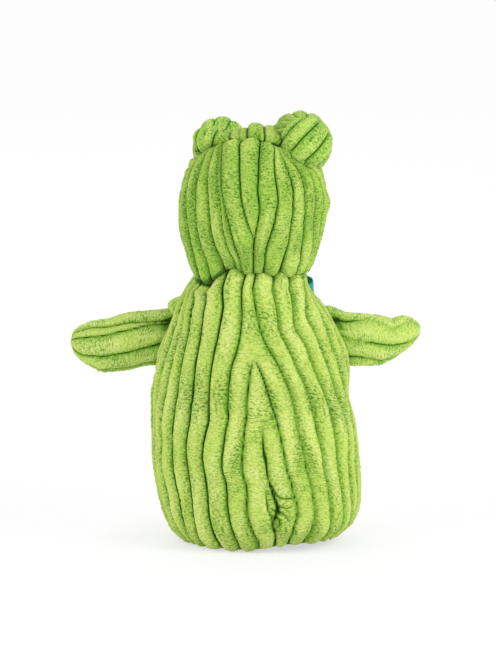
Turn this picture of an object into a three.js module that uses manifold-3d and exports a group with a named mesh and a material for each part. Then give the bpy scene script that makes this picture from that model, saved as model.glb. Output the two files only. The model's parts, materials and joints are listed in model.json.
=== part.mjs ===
// A stuffed corduroy frog that sits upright on a flat base, with its arms held out and a bow at its throat.
// Millimetres, +Z up. The frog looks along -Y and its own left is +X. The origin is the middle of the base.
// Every cushion is built as it is sewn: cut cloth panels with the pile outside, round a wad of stuffing.
import * as THREE from "three";
import { mergeVertices } from "three/addons/utils/BufferGeometryUtils.js";
import Module from "manifold-3d";

const wasm = await Module();
wasm.setup();

// Cloth and sewing
const skinThickness = 3.6;
const grooveDepth = 1.8;
const pointsPerWale = 3;
const deepestShare = 0.25;
const seamGap = 0.3;
const cutOverrun = 25;

// Torso, a gourd with a flat oval base and a gathered neck
const torsoHeight = 159;
const torsoHalfWidth = 61;
const torsoDepthShare = 0.84;
const torsoWales = 34;
const torsoSideSeamWale = 10;
const baseHalfWidth = 40;
const baseThickness = 3;
const baseStandOff = 0.8;
const neckRadius = 33;
const neckPivotDrop = 6;
const wadSeatDrop = 9;
// Each pair is a height over torsoHeight and a half width over torsoHalfWidth.
const torsoOutlineShares = [
  [0.032, 0.8],
  [0.075, 0.89],
  [0.16, 0.965],
  [0.34, 1],
  [0.45, 0.975],
  [0.56, 0.94],
  [0.65, 0.905],
  [0.73, 0.855],
  [0.8, 0.795],
  [0.86, 0.725],
  [0.91, 0.645],
  [0.955, 0.58],
];

// Head, an egg on the same neck
const headHeight = 89;
const headHalfWidth = 44;
const headDepthShare = 0.93;
const headWales = 26;
const headSideSeamWale = 7;
// Each pair is a height over headHeight and a half width over headHalfWidth.
const headOutlineShares = [
  [0.06, 0.82],
  [0.16, 0.9],
  [0.3, 0.96],
  [0.45, 1],
  [0.56, 0.975],
  [0.66, 0.91],
  [0.76, 0.81],
  [0.85, 0.66],
  [0.93, 0.46],
  [0.98, 0.25],
  [1, 0.04],
];

// How far the joints go, in degrees
const nodRange = 10;
const moundTiltRange = 6;
const armBackwardRange = 10;
const armForwardRange = 50;

// Arms, flat paddles sewn by one edge into the torso's side seams
const armLength = 59;
const armHalfHeight = 17.5;
const armHalfThickness = 9;
const armRootDepth = 7;
const armShoulderHeight = 117;
const armSeamReach = 17;
const armSeamBow = 0;
const armSkinThickness = 2.8;
const armWales = 8;
// Each row is a place along armLength, then shares of armHalfHeight and of armHalfThickness.
const armSectionShares = [
  [0, 0.97, 0.19],
  [0.13, 0.99, 0.7],
  [0.33, 1, 0.98],
  [0.6, 0.97, 1],
  [0.8, 0.84, 0.86],
  [0.92, 0.6, 0.6],
  [0.98, 0.32, 0.32],
  [1, 0.1, 0.1],
];
const leftArmSweep = 10;
const rightArmSweep = 28;
const leftArmDroop = 8;
const rightArmDroop = 0;

// Eye mounds, fat round pads that stand on the crown, each with a disc let into its back
const moundLength = 42;
const moundRadius = 18.2;
const moundSides = 24;
const moundSkinThickness = 2.6;
const moundSeamShare = 0.66;
const leftMoundTurn = -14;
const rightMoundTurn = 4;
// Where the middle of each mound stands: a turn about the head, a share of headHeight and a depth.
const leftMoundSeatTurn = 113;
const rightMoundSeatTurn = -86;
const leftMoundSeatShare = 0.83;
const rightMoundSeatShare = 0.86;
const leftMoundSeatDepth = 5.5;
const moundSearchSteps = 104;
// Each pair is a place along moundLength, from the eye to the back, and a share of moundRadius.
const moundOutlineShares = [
  [0, 0.72],
  [0.05, 0.9],
  [0.16, 1],
  [0.45, 1],
  [0.6, 0.93],
  [moundSeamShare, 0.8],
  [0.72, 0.86],
  [0.87, 0.78],
  [0.96, 0.5],
  [1, 0.12],
];

// Eyes, each a felt disc under a plastic button whose stem is held by a washer inside the mound
const feltRadius = 6.7;
const feltThickness = 1.2;
const buttonRadius = 5.2;
const buttonHeight = 3.6;
const stemRadius = 1.8;
const stemLength = 8;
const washerRadius = 4.6;
const washerThickness = 1.4;
const eyeSides = 20;
const domeSteps = 5;
const eyeRise = 5.9;

// Embroidery on the face
const stitchRadius = 0.9;
const stitchSides = 6;
const mouthSpan = 36;
const mouthSteps = 18;
const mouthHeightShare = 0.22;
const mouthRise = 9;
const nostrilTurn = 8;
const nostrilHeightShare = 0.46;
const nostrilHalfWidth = 2.4;
const nostrilHalfThickness = 1;

// Bow of smooth cotton, sewn to the chest below the throat
const bowHeight = 141;
const bowLoopLength = 29;
const bowLoopHalfHeight = 11.5;
const bowLoopHalfThickness = 4.6;
const bowClothThickness = 1.4;
const bowPinchShare = 0.55;
const bowThroatShare = 0.25;
const bowBellyShare = 0.55;
const bowBellyFullnessShare = 1.1;
const bowTipRoundingShare = 0.3;
const bowTipFullnessShare = 0.9;
const bowSweep = 11;
const bowLean = 30;
const bowSettle = 0.8;
const knotHalfWidth = 6;
const knotHalfHeight = 8;
const knotHalfThickness = 6.4;
// Each pair is a place over knotHalfHeight and a share of the knot's width and thickness.
const knotShares = [
  [-1, 0.8],
  [-0.7, 0.96],
  [0, 1],
  [0.7, 0.96],
  [1, 0.8],
];
const bowCurveSteps = 7;

const degrees = THREE.MathUtils.degToRad;
const spin = (axis, angle) => new THREE.Matrix4().makeRotationAxis(axis, degrees(angle));
const moved = (x, y, z) => new THREE.Matrix4().makeTranslation(x, y, z);
const upward = new THREE.Vector3(0, 0, 1);

// Turns a closed geometry into a solid that can be cut.
function toSolid(geometry) {
  const loose = geometry.index ? geometry.toNonIndexed() : geometry.clone();
  const bare = new THREE.BufferGeometry().setAttribute("position", loose.getAttribute("position"));
  const merged = mergeVertices(bare);
  return new wasm.Manifold(
    new wasm.Mesh({
      numProp: 3,
      vertProperties: new Float32Array(merged.attributes.position.array),
      triVerts: new Uint32Array(merged.index.array),
    }),
  );
}

function toGeometry(solid) {
  const mesh = solid.getMesh();
  const geometry = new THREE.BufferGeometry();
  geometry.setAttribute("position", new THREE.BufferAttribute(mesh.vertProperties, 3));
  geometry.setIndex(new THREE.BufferAttribute(mesh.triVerts, 1));
  return geometry;
}

// What is left of a geometry once each tool has been taken out of it.
function cut(geometry, ...tools) {
  return toGeometry(tools.reduce((rest, tool) => rest.subtract(toSolid(tool)), toSolid(geometry)));
}

// The part of a geometry that lies inside the region.
function keep(geometry, region) {
  return toGeometry(toSolid(geometry).intersect(toSolid(region)));
}

// One oval section. Turn 0 is +Y, and turns run towards +X. Every third point drops into a groove by dip.
function ring(halfWidth, halfDepth, height, count, dip = 0) {
  return Array.from({ length: count }, (_, k) => {
    const turn = (2 * Math.PI * k) / count;
    const drop = k % pointsPerWale === 0 ? Math.min(dip, deepestShare * halfDepth) : 0;
    return new THREE.Vector3(
      Math.sin(turn) * (halfWidth - drop),
      Math.cos(turn) * (halfDepth - drop),
      height,
    );
  });
}

// A closed solid through rings of equal count, lowest first, with flat ends.
function loft(rings) {
  const count = rings[0].length;
  const lowMiddle = rings.length * count;
  const highMiddle = lowMiddle + 1;
  const topStart = lowMiddle - count;
  const faces = [];
  for (let k = 0; k < count; k++) {
    const next = (k + 1) % count;
    faces.push(lowMiddle, k, next, highMiddle, topStart + next, topStart + k);
    for (let below = 0; below < topStart; below += count) {
      const above = below + count;
      faces.push(below + k, above + k, above + next, below + k, above + next, below + next);
    }
  }
  const middles = [rings[0], rings.at(-1)].map((points) =>
    points.reduce((sum, p) => sum.add(p), new THREE.Vector3()).divideScalar(count),
  );
  const geometry = new THREE.BufferGeometry().setFromPoints([...rings.flat(), ...middles]);
  return geometry.setIndex(faces);
}

// Moves an upward outline towards its axis, square to itself.
function inset(points, distance) {
  return points.map((p, i) => {
    const before = points[Math.max(i - 1, 0)];
    const after = points[Math.min(i + 1, points.length - 1)];
    const along = after.clone().sub(before).normalize();
    return new THREE.Vector2(p.x - along.y * distance, p.y + along.x * distance);
  });
}

function scaled(shares, halfWidth, height, foot = 0) {
  return shares.map(([up, out]) => new THREE.Vector2(out * halfWidth, foot + up * height));
}

// A stuffed form with an oval section that turns round at the neck.
// grow moves its surface outwards, and dip sinks a groove between every two wales.
function stuffedForm(outline, depthShareAt, count, grow, dip = 0) {
  const grown = inset(outline, -grow);
  return loft(
    grown.map((p, i) => {
      const plain = outline[i];
      const halfDepth = plain.x * depthShareAt(plain.y) + p.x - plain.x;
      return ring(p.x, halfDepth, p.y, count, dip);
    }),
  );
}

// Everything between two heights, and everything round the axis within an oval.
function slab(low, high, reach = torsoHeight) {
  return new THREE.BoxGeometry(2 * reach, 2 * reach, high - low).translate(0, 0, (low + high) / 2);
}

function post(halfWidth, halfDepth, low, high, count) {
  return loft([ring(halfWidth, halfDepth, low, count), ring(halfWidth, halfDepth, high, count)]);
}
const pin = (radius, low, high, count) => post(radius, radius, low, high, count);

// The wedge of space between two turns about the axis, held back from both by half a seam gap.
function wedge(fromTurn, toTurn, low, high, reach = torsoHeight) {
  const middle = (fromTurn + toTurn) / 2;
  const held = seamGap / 2 / Math.sin(degrees((toTurn - fromTurn) / 2));
  const at = (turn, distance) =>
    new THREE.Vector2(Math.sin(degrees(turn)), Math.cos(degrees(turn))).multiplyScalar(distance);
  const turns = [fromTurn, (fromTurn + middle) / 2, middle, (middle + toTurn) / 2, toTurn];
  const corners = turns.map((turn) => at(turn, reach));
  const apex = at(middle, held);
  const shape = new THREE.Shape([new THREE.Vector2(), ...corners].map((p) => p.add(apex)));
  const geometry = new THREE.ExtrudeGeometry(shape, { depth: high - low, bevelEnabled: false });
  return geometry.translate(0, 0, low);
}

// Copies of a tool turned about a line through a point, one for each angle.
function swung(tool, point, axis, angles) {
  const there = moved(point.x, point.y, point.z);
  const back = moved(-point.x, -point.y, -point.z);
  const about = (angle) => there.clone().multiply(spin(axis, angle)).multiply(back);
  return angles.map((angle) => tool.clone().applyMatrix4(about(angle)));
}

const material = (color, roughness = 0.95, metalness = 0) =>
  new THREE.MeshStandardMaterial({ color, roughness, metalness });
const corduroy = material("#93c13d");
const lining = material("#f1efe6", 1);
const bowCotton = material("#149f9c", 0.7);
const felt = material("#f6f4ec", 1);
const blackPlastic = material("#15171a", 0.2);
const whitePlastic = material("#e8e8e4", 0.5);
const stitching = material("#2f5a1c", 0.8);

function piece(name, geometry, finish) {
  const mesh = new THREE.Mesh(geometry, finish);
  mesh.name = name;
  return mesh;
}

// Torso outline, from the rim round the base up to the neck.
const torsoOutline = [
  new THREE.Vector2(baseHalfWidth + skinThickness, baseStandOff),
  ...scaled(torsoOutlineShares, torsoHalfWidth, torsoHeight),
  new THREE.Vector2(neckRadius, torsoHeight),
];
const waistShare = 0.5;
const torsoDepthShareAt = (height) =>
  THREE.MathUtils.lerp(
    torsoDepthShare,
    1,
    THREE.MathUtils.smoothstep(height, waistShare * torsoHeight, torsoHeight - wadSeatDrop),
  );
const torsoForm = (grow, count, dip) => stuffedForm(torsoOutline, torsoDepthShareAt, count, grow, dip);
const neckBoreRadius = neckRadius - skinThickness;
const neckPivot = new THREE.Vector3(0, 0, torsoHeight - neckPivotDrop);
const wadRadius = neckBoreRadius - 2 * seamGap;

function makeTorso() {
  const baseHalfDepth = baseHalfWidth * torsoDepthShare;
  const base = post(baseHalfWidth, baseHalfDepth, 0, baseThickness, torsoWales);
  const recessTop = baseThickness + seamGap;
  const [recessHalfWidth, recessHalfDepth] = [baseHalfWidth + seamGap, baseHalfDepth + seamGap];
  const baseRecess = post(recessHalfWidth, recessHalfDepth, -cutOverrun, recessTop, torsoWales);
  const neckBore = pin(neckBoreRadius, torsoHeight - cutOverrun, torsoHeight + cutOverrun, torsoWales);
  const skin = cut(
    torsoForm(0, torsoWales * pointsPerWale, grooveDepth),
    torsoForm(-skinThickness, torsoWales),
    baseRecess,
    neckBore,
  );
  const fill = cut(
    torsoForm(-skinThickness - seamGap, torsoWales),
    slab(torsoHeight - wadSeatDrop, torsoHeight + cutOverrun),
    slab(-cutOverrun, recessTop),
  );
  const sideTurn = (360 / torsoWales) * torsoSideSeamWale;
  const panel = (from, to) => keep(skin, wedge(from, to, -cutOverrun, torsoHeight + cutOverrun));
  return [
    piece("torso_back_left_panel", panel(0, sideTurn), corduroy),
    piece("torso_back_right_panel", panel(-sideTurn, 0), corduroy),
    piece("torso_front_panel", panel(sideTurn, 360 - sideTurn), corduroy),
    piece("base_panel", base, corduroy),
    piece("torso_stuffing", fill, lining),
  ];
}

// The firm wad of stuffing in the gathered neck, a ball that the head turns and nods on.
function makeNeck() {
  const ball = new THREE.SphereGeometry(wadRadius, torsoWales, torsoWales / 2);
  ball.rotateX(Math.PI / 2).translate(0, 0, neckPivot.z);
  const seat = torsoHeight - wadSeatDrop + seamGap;
  return piece("neck_stuffing", cut(ball, slab(seat - 2 * wadRadius, seat)), lining);
}

// Head outline, from the neck up to the crown.
const headFoot = torsoHeight + seamGap;
const headOutline = [
  new THREE.Vector2(neckRadius, headFoot),
  ...scaled(headOutlineShares, headHalfWidth, headHeight, headFoot),
];
const cheekShare = 0.35;
const headDepthShareAt = (height) =>
  THREE.MathUtils.lerp(
    1,
    headDepthShare,
    THREE.MathUtils.smoothstep(height, headFoot, headFoot + cheekShare * headHeight),
  );
const headForm = (grow, count, dip) => stuffedForm(headOutline, headDepthShareAt, count, grow, dip);

// A point on a stuffed form's surface, grow outside it, at a turn and a height.
function surfacePoint(outline, depthShareAt, turn, height, grow) {
  const above = Math.max(1, outline.findIndex((p) => p.y >= height));
  const [low, high] = [outline[above - 1], outline[above]];
  const halfWidth = THREE.MathUtils.mapLinear(height, low.y, high.y, low.x, high.x);
  return new THREE.Vector3(
    Math.sin(degrees(turn)) * (halfWidth + grow),
    Math.cos(degrees(turn)) * (halfWidth * depthShareAt(height) + grow),
    height,
  );
}
const torsoPoint = (turn, height, grow = 0) =>
  surfacePoint(torsoOutline, torsoDepthShareAt, turn, height, grow);
const headPoint = (turn, height, grow = 0) =>
  surfacePoint(headOutline, headDepthShareAt, turn, height, grow);

// The square to the head's surface at a turn and a height.
function headNormal(turn, height) {
  const around = headPoint(turn + 1, height).sub(headPoint(turn - 1, height));
  const along = headPoint(turn, height + seamGap).sub(headPoint(turn, height - seamGap));
  return around.cross(along).normalize().negate();
}

// What the torso's neck sweeps as the head turns and nods over it.
function neckSweep() {
  const rise = torsoHeight - cutOverrun;
  const round = inset(torsoOutline, -seamGap).filter((p) => p.y > rise);
  const top = new THREE.Vector2(neckRadius + seamGap, torsoHeight + seamGap);
  const tool = loft([...round.slice(0, -1), top].map((p) => ring(p.x, p.x, p.y, torsoWales)));
  const angles = [-nodRange, -nodRange / 2, nodRange / 2, nodRange];
  return swung(tool, neckPivot, new THREE.Vector3(1, 0, 0), angles);
}

function makeHead() {
  const sweep = neckSweep();
  const bore = pin(neckBoreRadius, torsoHeight - cutOverrun, headFoot + skinThickness, headWales);
  const cup = new THREE.SphereGeometry(wadRadius + 2 * seamGap, torsoWales, torsoWales / 2);
  cup.rotateX(Math.PI / 2).translate(0, 0, neckPivot.z);
  const skin = cut(
    headForm(0, headWales * pointsPerWale, grooveDepth),
    headForm(-skinThickness, headWales),
    bore,
    ...sweep,
  );
  const fill = cut(
    headForm(-skinThickness - seamGap, headWales),
    slab(-cutOverrun, headFoot + skinThickness),
    cup,
    ...sweep,
  );
  const sideTurn = (360 / headWales) * headSideSeamWale;
  const panel = (from, to) => keep(skin, wedge(from, to, 0, torsoHeight + headHeight + cutOverrun));
  return [
    piece("head_back_left_panel", panel(0, sideTurn), corduroy),
    piece("head_back_right_panel", panel(-sideTurn, 0), corduroy),
    piece("face_panel", panel(sideTurn, 360 - sideTurn), corduroy),
    piece("head_stuffing", fill, lining),
  ];
}

// Satin stitch smile and nostrils, laid on the crests of the face's wales.
function makeEmbroidery() {
  const lift = stitchRadius + seamGap;
  const points = Array.from({ length: mouthSteps + 1 }, (_, i) => {
    const side = (2 * i) / mouthSteps - 1;
    const height = headFoot + mouthHeightShare * headHeight + mouthRise * side * side;
    return headPoint(180 + side * mouthSpan, height, lift);
  });
  const section = new THREE.Shape().absarc(0, 0, stitchRadius, 0, 2 * Math.PI);
  const mouth = new THREE.ExtrudeGeometry(section, {
    extrudePath: new THREE.CatmullRomCurve3(points),
    steps: mouthSteps,
    curveSegments: stitchSides / 2,
  });
  const nostril = (name, side) => {
    const height = headFoot + nostrilHeightShare * headHeight;
    const knot = new THREE.SphereGeometry(nostrilHalfWidth, stitchSides * 2, stitchSides);
    knot.scale(1, nostrilHalfThickness / nostrilHalfWidth, 1);
    const mesh = piece(name, knot, stitching);
    mesh.position.copy(headPoint(180 + side * nostrilTurn, height, nostrilHalfThickness + seamGap));
    return mesh;
  };
  return [
    piece("mouth_stitching", mouth, stitching),
    nostril("left_nostril", -1),
    nostril("right_nostril", 1),
  ];
}

// A turned ring or pin about the local Z axis, from a closed outline of radius and height.
function turned(outline, count = eyeSides) {
  const points = outline.map(([radius, along]) => new THREE.Vector2(radius, along));
  return new THREE.LatheGeometry([...points, points[0]], count).rotateX(Math.PI / 2);
}

// One eye, in its mound's own frame: local Z runs from the eye to the back, and local Y runs down.
function makeEye(side) {
  const feltBack = -seamGap;
  const feltFront = feltBack - feltThickness;
  const buttonBack = feltFront - seamGap;
  const washerFront = moundSkinThickness + seamGap;
  const washerBack = washerFront + washerThickness;
  const hole = stemRadius + seamGap;
  const washer = (radius, front, back) =>
    turned([[hole, front], [radius, front], [radius, back], [hole, back]]);
  const dome = Array.from({ length: domeSteps + 1 }, (_, i) => {
    const turn = (i / domeSteps) * (Math.PI / 2);
    return [buttonRadius * Math.cos(turn), buttonBack - buttonHeight * Math.sin(turn)];
  });
  dome[dome.length - 1][0] = 0;
  const eye = [
    piece(
      `${side}_eye_felt`,
      washer(feltRadius, feltFront, feltBack),
      felt,
    ),
    piece(
      `${side}_eye_button`,
      turned([...dome.reverse(), [stemRadius, buttonBack], [stemRadius, stemLength], [0, stemLength]]),
      blackPlastic,
    ),
    piece(
      `${side}_eye_washer`,
      washer(washerRadius, washerFront, washerBack),
      whitePlastic,
    ),
  ];
  eye.forEach((mesh) => mesh.position.setY(-eyeRise));
  return eye;
}

// One eye mound on the crown. centre is the middle of its length, and turn swings its eye about +Z.
function makeMound(side, centre, turn) {
  const group = new THREE.Group();
  group.rotation.set(-Math.PI / 2, 0, degrees(turn), "ZYX");
  const axis = new THREE.Vector3(0, 1, 0).applyAxisAngle(upward, degrees(turn));
  group.position.copy(centre).addScaledVector(axis, -moundLength / 2);
  group.updateMatrix();
  const toLocal = group.matrix.clone().invert();

  const hinge = moundHinge(centre, axis);
  const angles = [-1, -0.5, 0, 0.5, 1].map((share) => share * moundTiltRange);
  const clear = headForm(seamGap, headWales * 2);
  const crown = swung(clear, hinge.point, hinge.axis, angles).map((tool) => tool.applyMatrix4(toLocal));

  const outline = scaled(moundOutlineShares, moundRadius, moundLength);
  const padRing = (p) => ring(Math.max(p.x, seamGap), Math.max(p.x, seamGap), p.y, moundSides);
  const padForm = (grow) => loft(inset(outline, -grow).map(padRing));
  const seam = moundSeamShare * moundLength;
  const half = seamGap / 2;
  const eyeHole = (radius, low, high) => pin(radius, low, high, eyeSides).translate(0, -eyeRise, 0);
  const stemHole = eyeHole(stemRadius + seamGap, -cutOverrun, stemLength + seamGap);
  const washerPocket = eyeHole(washerRadius + seamGap, 0, moundSkinThickness + washerThickness + 2 * seamGap);
  const skin = cut(padForm(0), padForm(-moundSkinThickness), stemHole, ...crown);
  const fill = cut(padForm(-moundSkinThickness - seamGap), stemHole, washerPocket, ...crown);
  group.add(
    piece(`${side}_mound_front_panel`, keep(skin, slab(-cutOverrun, seam - half)), corduroy),
    piece(`${side}_mound_back_disc`, keep(skin, slab(seam + half, moundLength + cutOverrun)), corduroy),
    piece(`${side}_mound_stuffing`, fill, lining),
    ...makeEye(side),
  );
  return { group, hinge };
}

// The line on the head's surface under a mound's middle that the mound rocks on.
function moundHinge(centre, axis) {
  const turn = THREE.MathUtils.radToDeg(Math.atan2(centre.x, centre.y / headDepthShare));
  const heights = Array.from(
    { length: moundSearchSteps },
    (_, i) => headFoot + headHeight * (1 - i / moundSearchSteps),
  );
  const reach = Math.hypot(centre.x, centre.y);
  const height = heights.find((h) => {
    const p = headPoint(turn, h);
    return Math.hypot(p.x, p.y) >= reach;
  });
  const point = headPoint(turn, height);
  return { point, axis: headNormal(turn, height).cross(axis).normalize() };
}

// The seam that an arm is sewn into: a straight line that touches the torso's side.
function armHinge(sideSign) {
  const turn = sideSign * (360 / torsoWales) * torsoSideSeamWale;
  const low = torsoPoint(turn, armShoulderHeight - armSeamReach, armSeamBow);
  const high = torsoPoint(turn, armShoulderHeight + armSeamReach, armSeamBow);
  const axis = high.clone().sub(low).normalize().multiplyScalar(-sideSign);
  return { point: low.add(high).divideScalar(2), axis };
}

// One arm. Its own Z runs out from the shoulder and its X runs up. sideSign is 1 on the frog's left.
function makeArm(side, sideSign, sweep, droop) {
  const hinge = armHinge(sideSign);
  const out = new THREE.Vector3(
    sideSign * Math.cos(degrees(sweep)) * Math.cos(degrees(droop)),
    -Math.sin(degrees(sweep)) * Math.cos(degrees(droop)),
    -Math.sin(degrees(droop)),
  );
  const across = new THREE.Vector3().crossVectors(out, upward).normalize();
  const up = new THREE.Vector3().crossVectors(across, out);
  const group = new THREE.Group();
  group.matrix.makeBasis(up, across, out).setPosition(hinge.point);
  group.matrixAutoUpdate = false;
  const toLocal = group.matrix.clone().invert();

  const [back, forward] = [-armBackwardRange - sweep, armForwardRange - sweep];
  const angles = [back, back / 2, 0, forward / 2, forward].map((angle) => -angle);
  const clear = torsoForm(seamGap, torsoWales * pointsPerWale, grooveDepth);
  const shoulder = swung(clear, hinge.point, hinge.axis, angles).map((tool) => tool.applyMatrix4(toLocal));

  const sections = ([along, tall, thick], grow) => ({
    tall: Math.max(tall * armHalfHeight + grow, seamGap),
    thick: Math.max(thick * armHalfThickness + grow, seamGap),
    along: along * armLength,
  });
  const form = (shares, grow, count, dip) =>
    loft(shares.map((row) => sections(row, grow)).map((s) => ring(s.tall, s.thick, s.along, count, dip)));
  const root = [-armRootDepth / armLength, ...armSectionShares[0].slice(1)];
  const roomy = armSectionShares.slice(1, -2);
  const skin = cut(
    form([root, ...armSectionShares.slice(1)], 0, armWales * pointsPerWale, grooveDepth / 2),
    form(roomy, -armSkinThickness, armWales * 2, 0),
    ...shoulder,
  );
  const fill = cut(form(roomy, -armSkinThickness - seamGap, armWales * 2, 0), ...shoulder);
  const reach = 4 * armLength;
  const halfSpace = (sign) =>
    new THREE.BoxGeometry(reach, reach, reach).translate(0, (sign * (reach + seamGap)) / 2, 0);
  group.add(
    piece(`${side}_arm_front_panel`, keep(skin, halfSpace(sideSign)), corduroy),
    piece(`${side}_arm_back_panel`, keep(skin, halfSpace(-sideSign)), corduroy),
    piece(`${side}_arm_stuffing`, fill, lining),
  );
  return { group, hinge };
}

// One bow loop in the bow's own frame: a band that runs out from the knot and back, wider at its end.
function bowLoop(sideSign) {
  const start = knotHalfWidth + seamGap;
  const end = start + bowLoopLength;
  const lobe = (path, inner) => {
    const [near, far, thick] = [start + 2 * inner, end - inner, bowLoopHalfThickness - inner];
    const narrow = thick * bowThroatShare + bowClothThickness;
    const belly = THREE.MathUtils.lerp(near, far, bowBellyShare);
    const full = thick * bowBellyFullnessShare;
    const tip = far + thick * bowTipRoundingShare;
    const blunt = thick * bowTipFullnessShare;
    path.moveTo(near, -narrow);
    path.bezierCurveTo(near, -thick, belly, -full, far - thick, -thick);
    path.bezierCurveTo(tip, -blunt, tip, blunt, far - thick, thick);
    path.bezierCurveTo(belly, full, near, thick, near, narrow);
    path.lineTo(near, -narrow);
    return path;
  };
  const shape = lobe(new THREE.Shape(), 0);
  shape.holes.push(lobe(new THREE.Path(), bowClothThickness));
  const loop = new THREE.ExtrudeGeometry(shape, {
    depth: 2 * bowLoopHalfHeight,
    bevelEnabled: false,
    curveSegments: bowCurveSteps,
  });
  loop.translate(0, 0, -bowLoopHalfHeight);
  const at = loop.getAttribute("position");
  for (let i = 0; i < at.count; i++) {
    const share = THREE.MathUtils.smoothstep(at.getX(i), start, end);
    at.setZ(i, at.getZ(i) * THREE.MathUtils.lerp(bowPinchShare, 1, share));
  }
  const turn = sideSign > 0 ? bowSweep : 180 - bowSweep;
  return loop.rotateZ(degrees(turn));
}

function makeBow() {
  const knotRings = knotShares.map(([up, share]) =>
    ring(share * knotHalfWidth, share * knotHalfThickness, up * knotHalfHeight, eyeSides),
  );
  const group = new THREE.Group();
  const standOff = (knotHalfThickness - bowSettle) / Math.cos(degrees(bowLean));
  const chest = torsoPoint(180, bowHeight, standOff);
  group.position.copy(chest);
  group.rotation.x = degrees(-bowLean);
  group.add(
    piece("bow_left_loop", bowLoop(1), bowCotton),
    piece("bow_right_loop", bowLoop(-1), bowCotton),
    piece("bow_knot", loft(knotRings), bowCotton),
  );
  return group;
}

const leftMoundHeight = headFoot + leftMoundSeatShare * headHeight;
const rightMoundHeight = headFoot + rightMoundSeatShare * headHeight;
const leftMoundCentre = headPoint(leftMoundSeatTurn, leftMoundHeight, -leftMoundSeatDepth);
const rightMoundCentre = headPoint(rightMoundSeatTurn, rightMoundHeight);
const leftMound = makeMound("left", leftMoundCentre, leftMoundTurn);
const rightMound = makeMound("right", rightMoundCentre, rightMoundTurn);
const leftArm = makeArm("left", 1, leftArmSweep, leftArmDroop);
const rightArm = makeArm("right", -1, rightArmSweep, rightArmDroop);

const frog = new THREE.Group();
frog.add(
  ...makeTorso(),
  makeBow(),
  makeNeck(),
  ...makeHead(),
  ...makeEmbroidery(),
  leftMound.group,
  rightMound.group,
  leftArm.group,
  rightArm.group,
);
frog.userData.hinges = {
  neck: { point: neckPivot, axis: new THREE.Vector3(1, 0, 0) },
  left_mound: leftMound.hinge,
  right_mound: rightMound.hinge,
  left_arm: leftArm.hinge,
  right_arm: rightArm.hinge,
};

export default frog;
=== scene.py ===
import json
import math

import bpy
import numpy as np
from mathutils import Matrix, Vector

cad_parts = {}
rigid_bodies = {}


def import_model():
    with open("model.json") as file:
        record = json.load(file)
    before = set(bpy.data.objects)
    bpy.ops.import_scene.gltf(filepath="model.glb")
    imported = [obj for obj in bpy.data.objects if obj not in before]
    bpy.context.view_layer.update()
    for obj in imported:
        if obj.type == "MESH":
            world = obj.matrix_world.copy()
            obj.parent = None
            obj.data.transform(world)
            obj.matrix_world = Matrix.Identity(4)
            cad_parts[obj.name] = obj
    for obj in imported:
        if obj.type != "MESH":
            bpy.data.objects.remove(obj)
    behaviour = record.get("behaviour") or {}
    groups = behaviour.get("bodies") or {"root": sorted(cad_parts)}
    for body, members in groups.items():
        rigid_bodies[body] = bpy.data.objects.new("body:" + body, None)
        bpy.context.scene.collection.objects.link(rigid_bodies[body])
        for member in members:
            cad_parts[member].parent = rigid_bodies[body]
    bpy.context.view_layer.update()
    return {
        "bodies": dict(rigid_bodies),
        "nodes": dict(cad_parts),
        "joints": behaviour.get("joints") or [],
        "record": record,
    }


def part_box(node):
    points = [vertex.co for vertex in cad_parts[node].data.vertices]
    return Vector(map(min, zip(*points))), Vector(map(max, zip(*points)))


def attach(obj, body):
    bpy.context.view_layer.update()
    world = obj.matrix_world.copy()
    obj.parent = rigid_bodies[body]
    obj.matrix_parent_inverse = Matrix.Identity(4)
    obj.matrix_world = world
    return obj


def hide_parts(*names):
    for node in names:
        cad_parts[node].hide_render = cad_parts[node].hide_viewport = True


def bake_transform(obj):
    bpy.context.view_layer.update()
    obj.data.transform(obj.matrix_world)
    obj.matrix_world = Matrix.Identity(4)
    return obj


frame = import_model()

# ---------------------------------------------------------------------------
# Camera, lamps and floor
# A product table: the frog is seen from behind and a little above, through a
# long lens, on white paper under two large soft boxes and a bright room.
# ---------------------------------------------------------------------------
MM = 0.001
PIXEL = 0.583 * MM
CAMERA_RISE = math.radians(10)
CAMERA_DISTANCE = 5.0
SENSOR_WIDTH = 36
PHOTO_HEIGHT = 664
PHOTO_MIDDLE = (248, 332)
PLUMB_COLUMN = 254
FLOOR_ROW = 553
BACK_REACH = 40 * MM
# Each lamp: place, side in metres and watts.
LAMPS = {
    "key_softbox": ((-1.2, 0.75, 0.95), 0.7, 13.6),
    "fill_softbox": ((1.2, 0.7, 0.8), 0.8, 7.6),
    "front_softbox": ((0.3, -1.3, 0.9), 1.2, 5.0),
}
LAMPS_MEET = (0, 0, 0.13)
ROOM_LIGHT = 0.6
# Round the foot the paper is seen as paper, so that it keeps the shadow. Further out it turns white.
PAPER_FROM, PAPER_TO = 0.045, 0.1
PAPER_WHITE_NEAR, PAPER_WHITE_FAR = 0.6, 0.93


def scene_object(name, data):
    """Links a new object to the scene and returns it."""
    made = bpy.data.objects.new(name, data)
    bpy.context.collection.objects.link(made)
    return made


def look_from(thing, place, target):
    """Puts a camera or lamp somewhere and points it at a target."""
    thing.location = place
    thing.rotation_euler = (Vector(target) - Vector(place)).to_track_quat("-Z", "Y").to_euler()


def linear(hex_colour):
    """Turns an sRGB hex colour into linear RGBA."""
    parts = [int(hex_colour[i : i + 2], 16) / 255 for i in (1, 3, 5)]
    return [p / 12.92 if p <= 0.04045 else ((p + 0.055) / 1.055) ** 2.4 for p in parts] + [1]


def add_node(tree, kind, inputs=(), **settings):
    """Adds a shader node, sets its properties, and fills or links its inputs."""
    node = tree.nodes.new(kind)
    for key, value in settings.items():
        setattr(node, key, value)
    for key, value in dict(inputs).items():
        if isinstance(value, bpy.types.NodeSocket):
            tree.links.new(value, node.inputs[key])
        else:
            node.inputs[key].default_value = value
    return node


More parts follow.
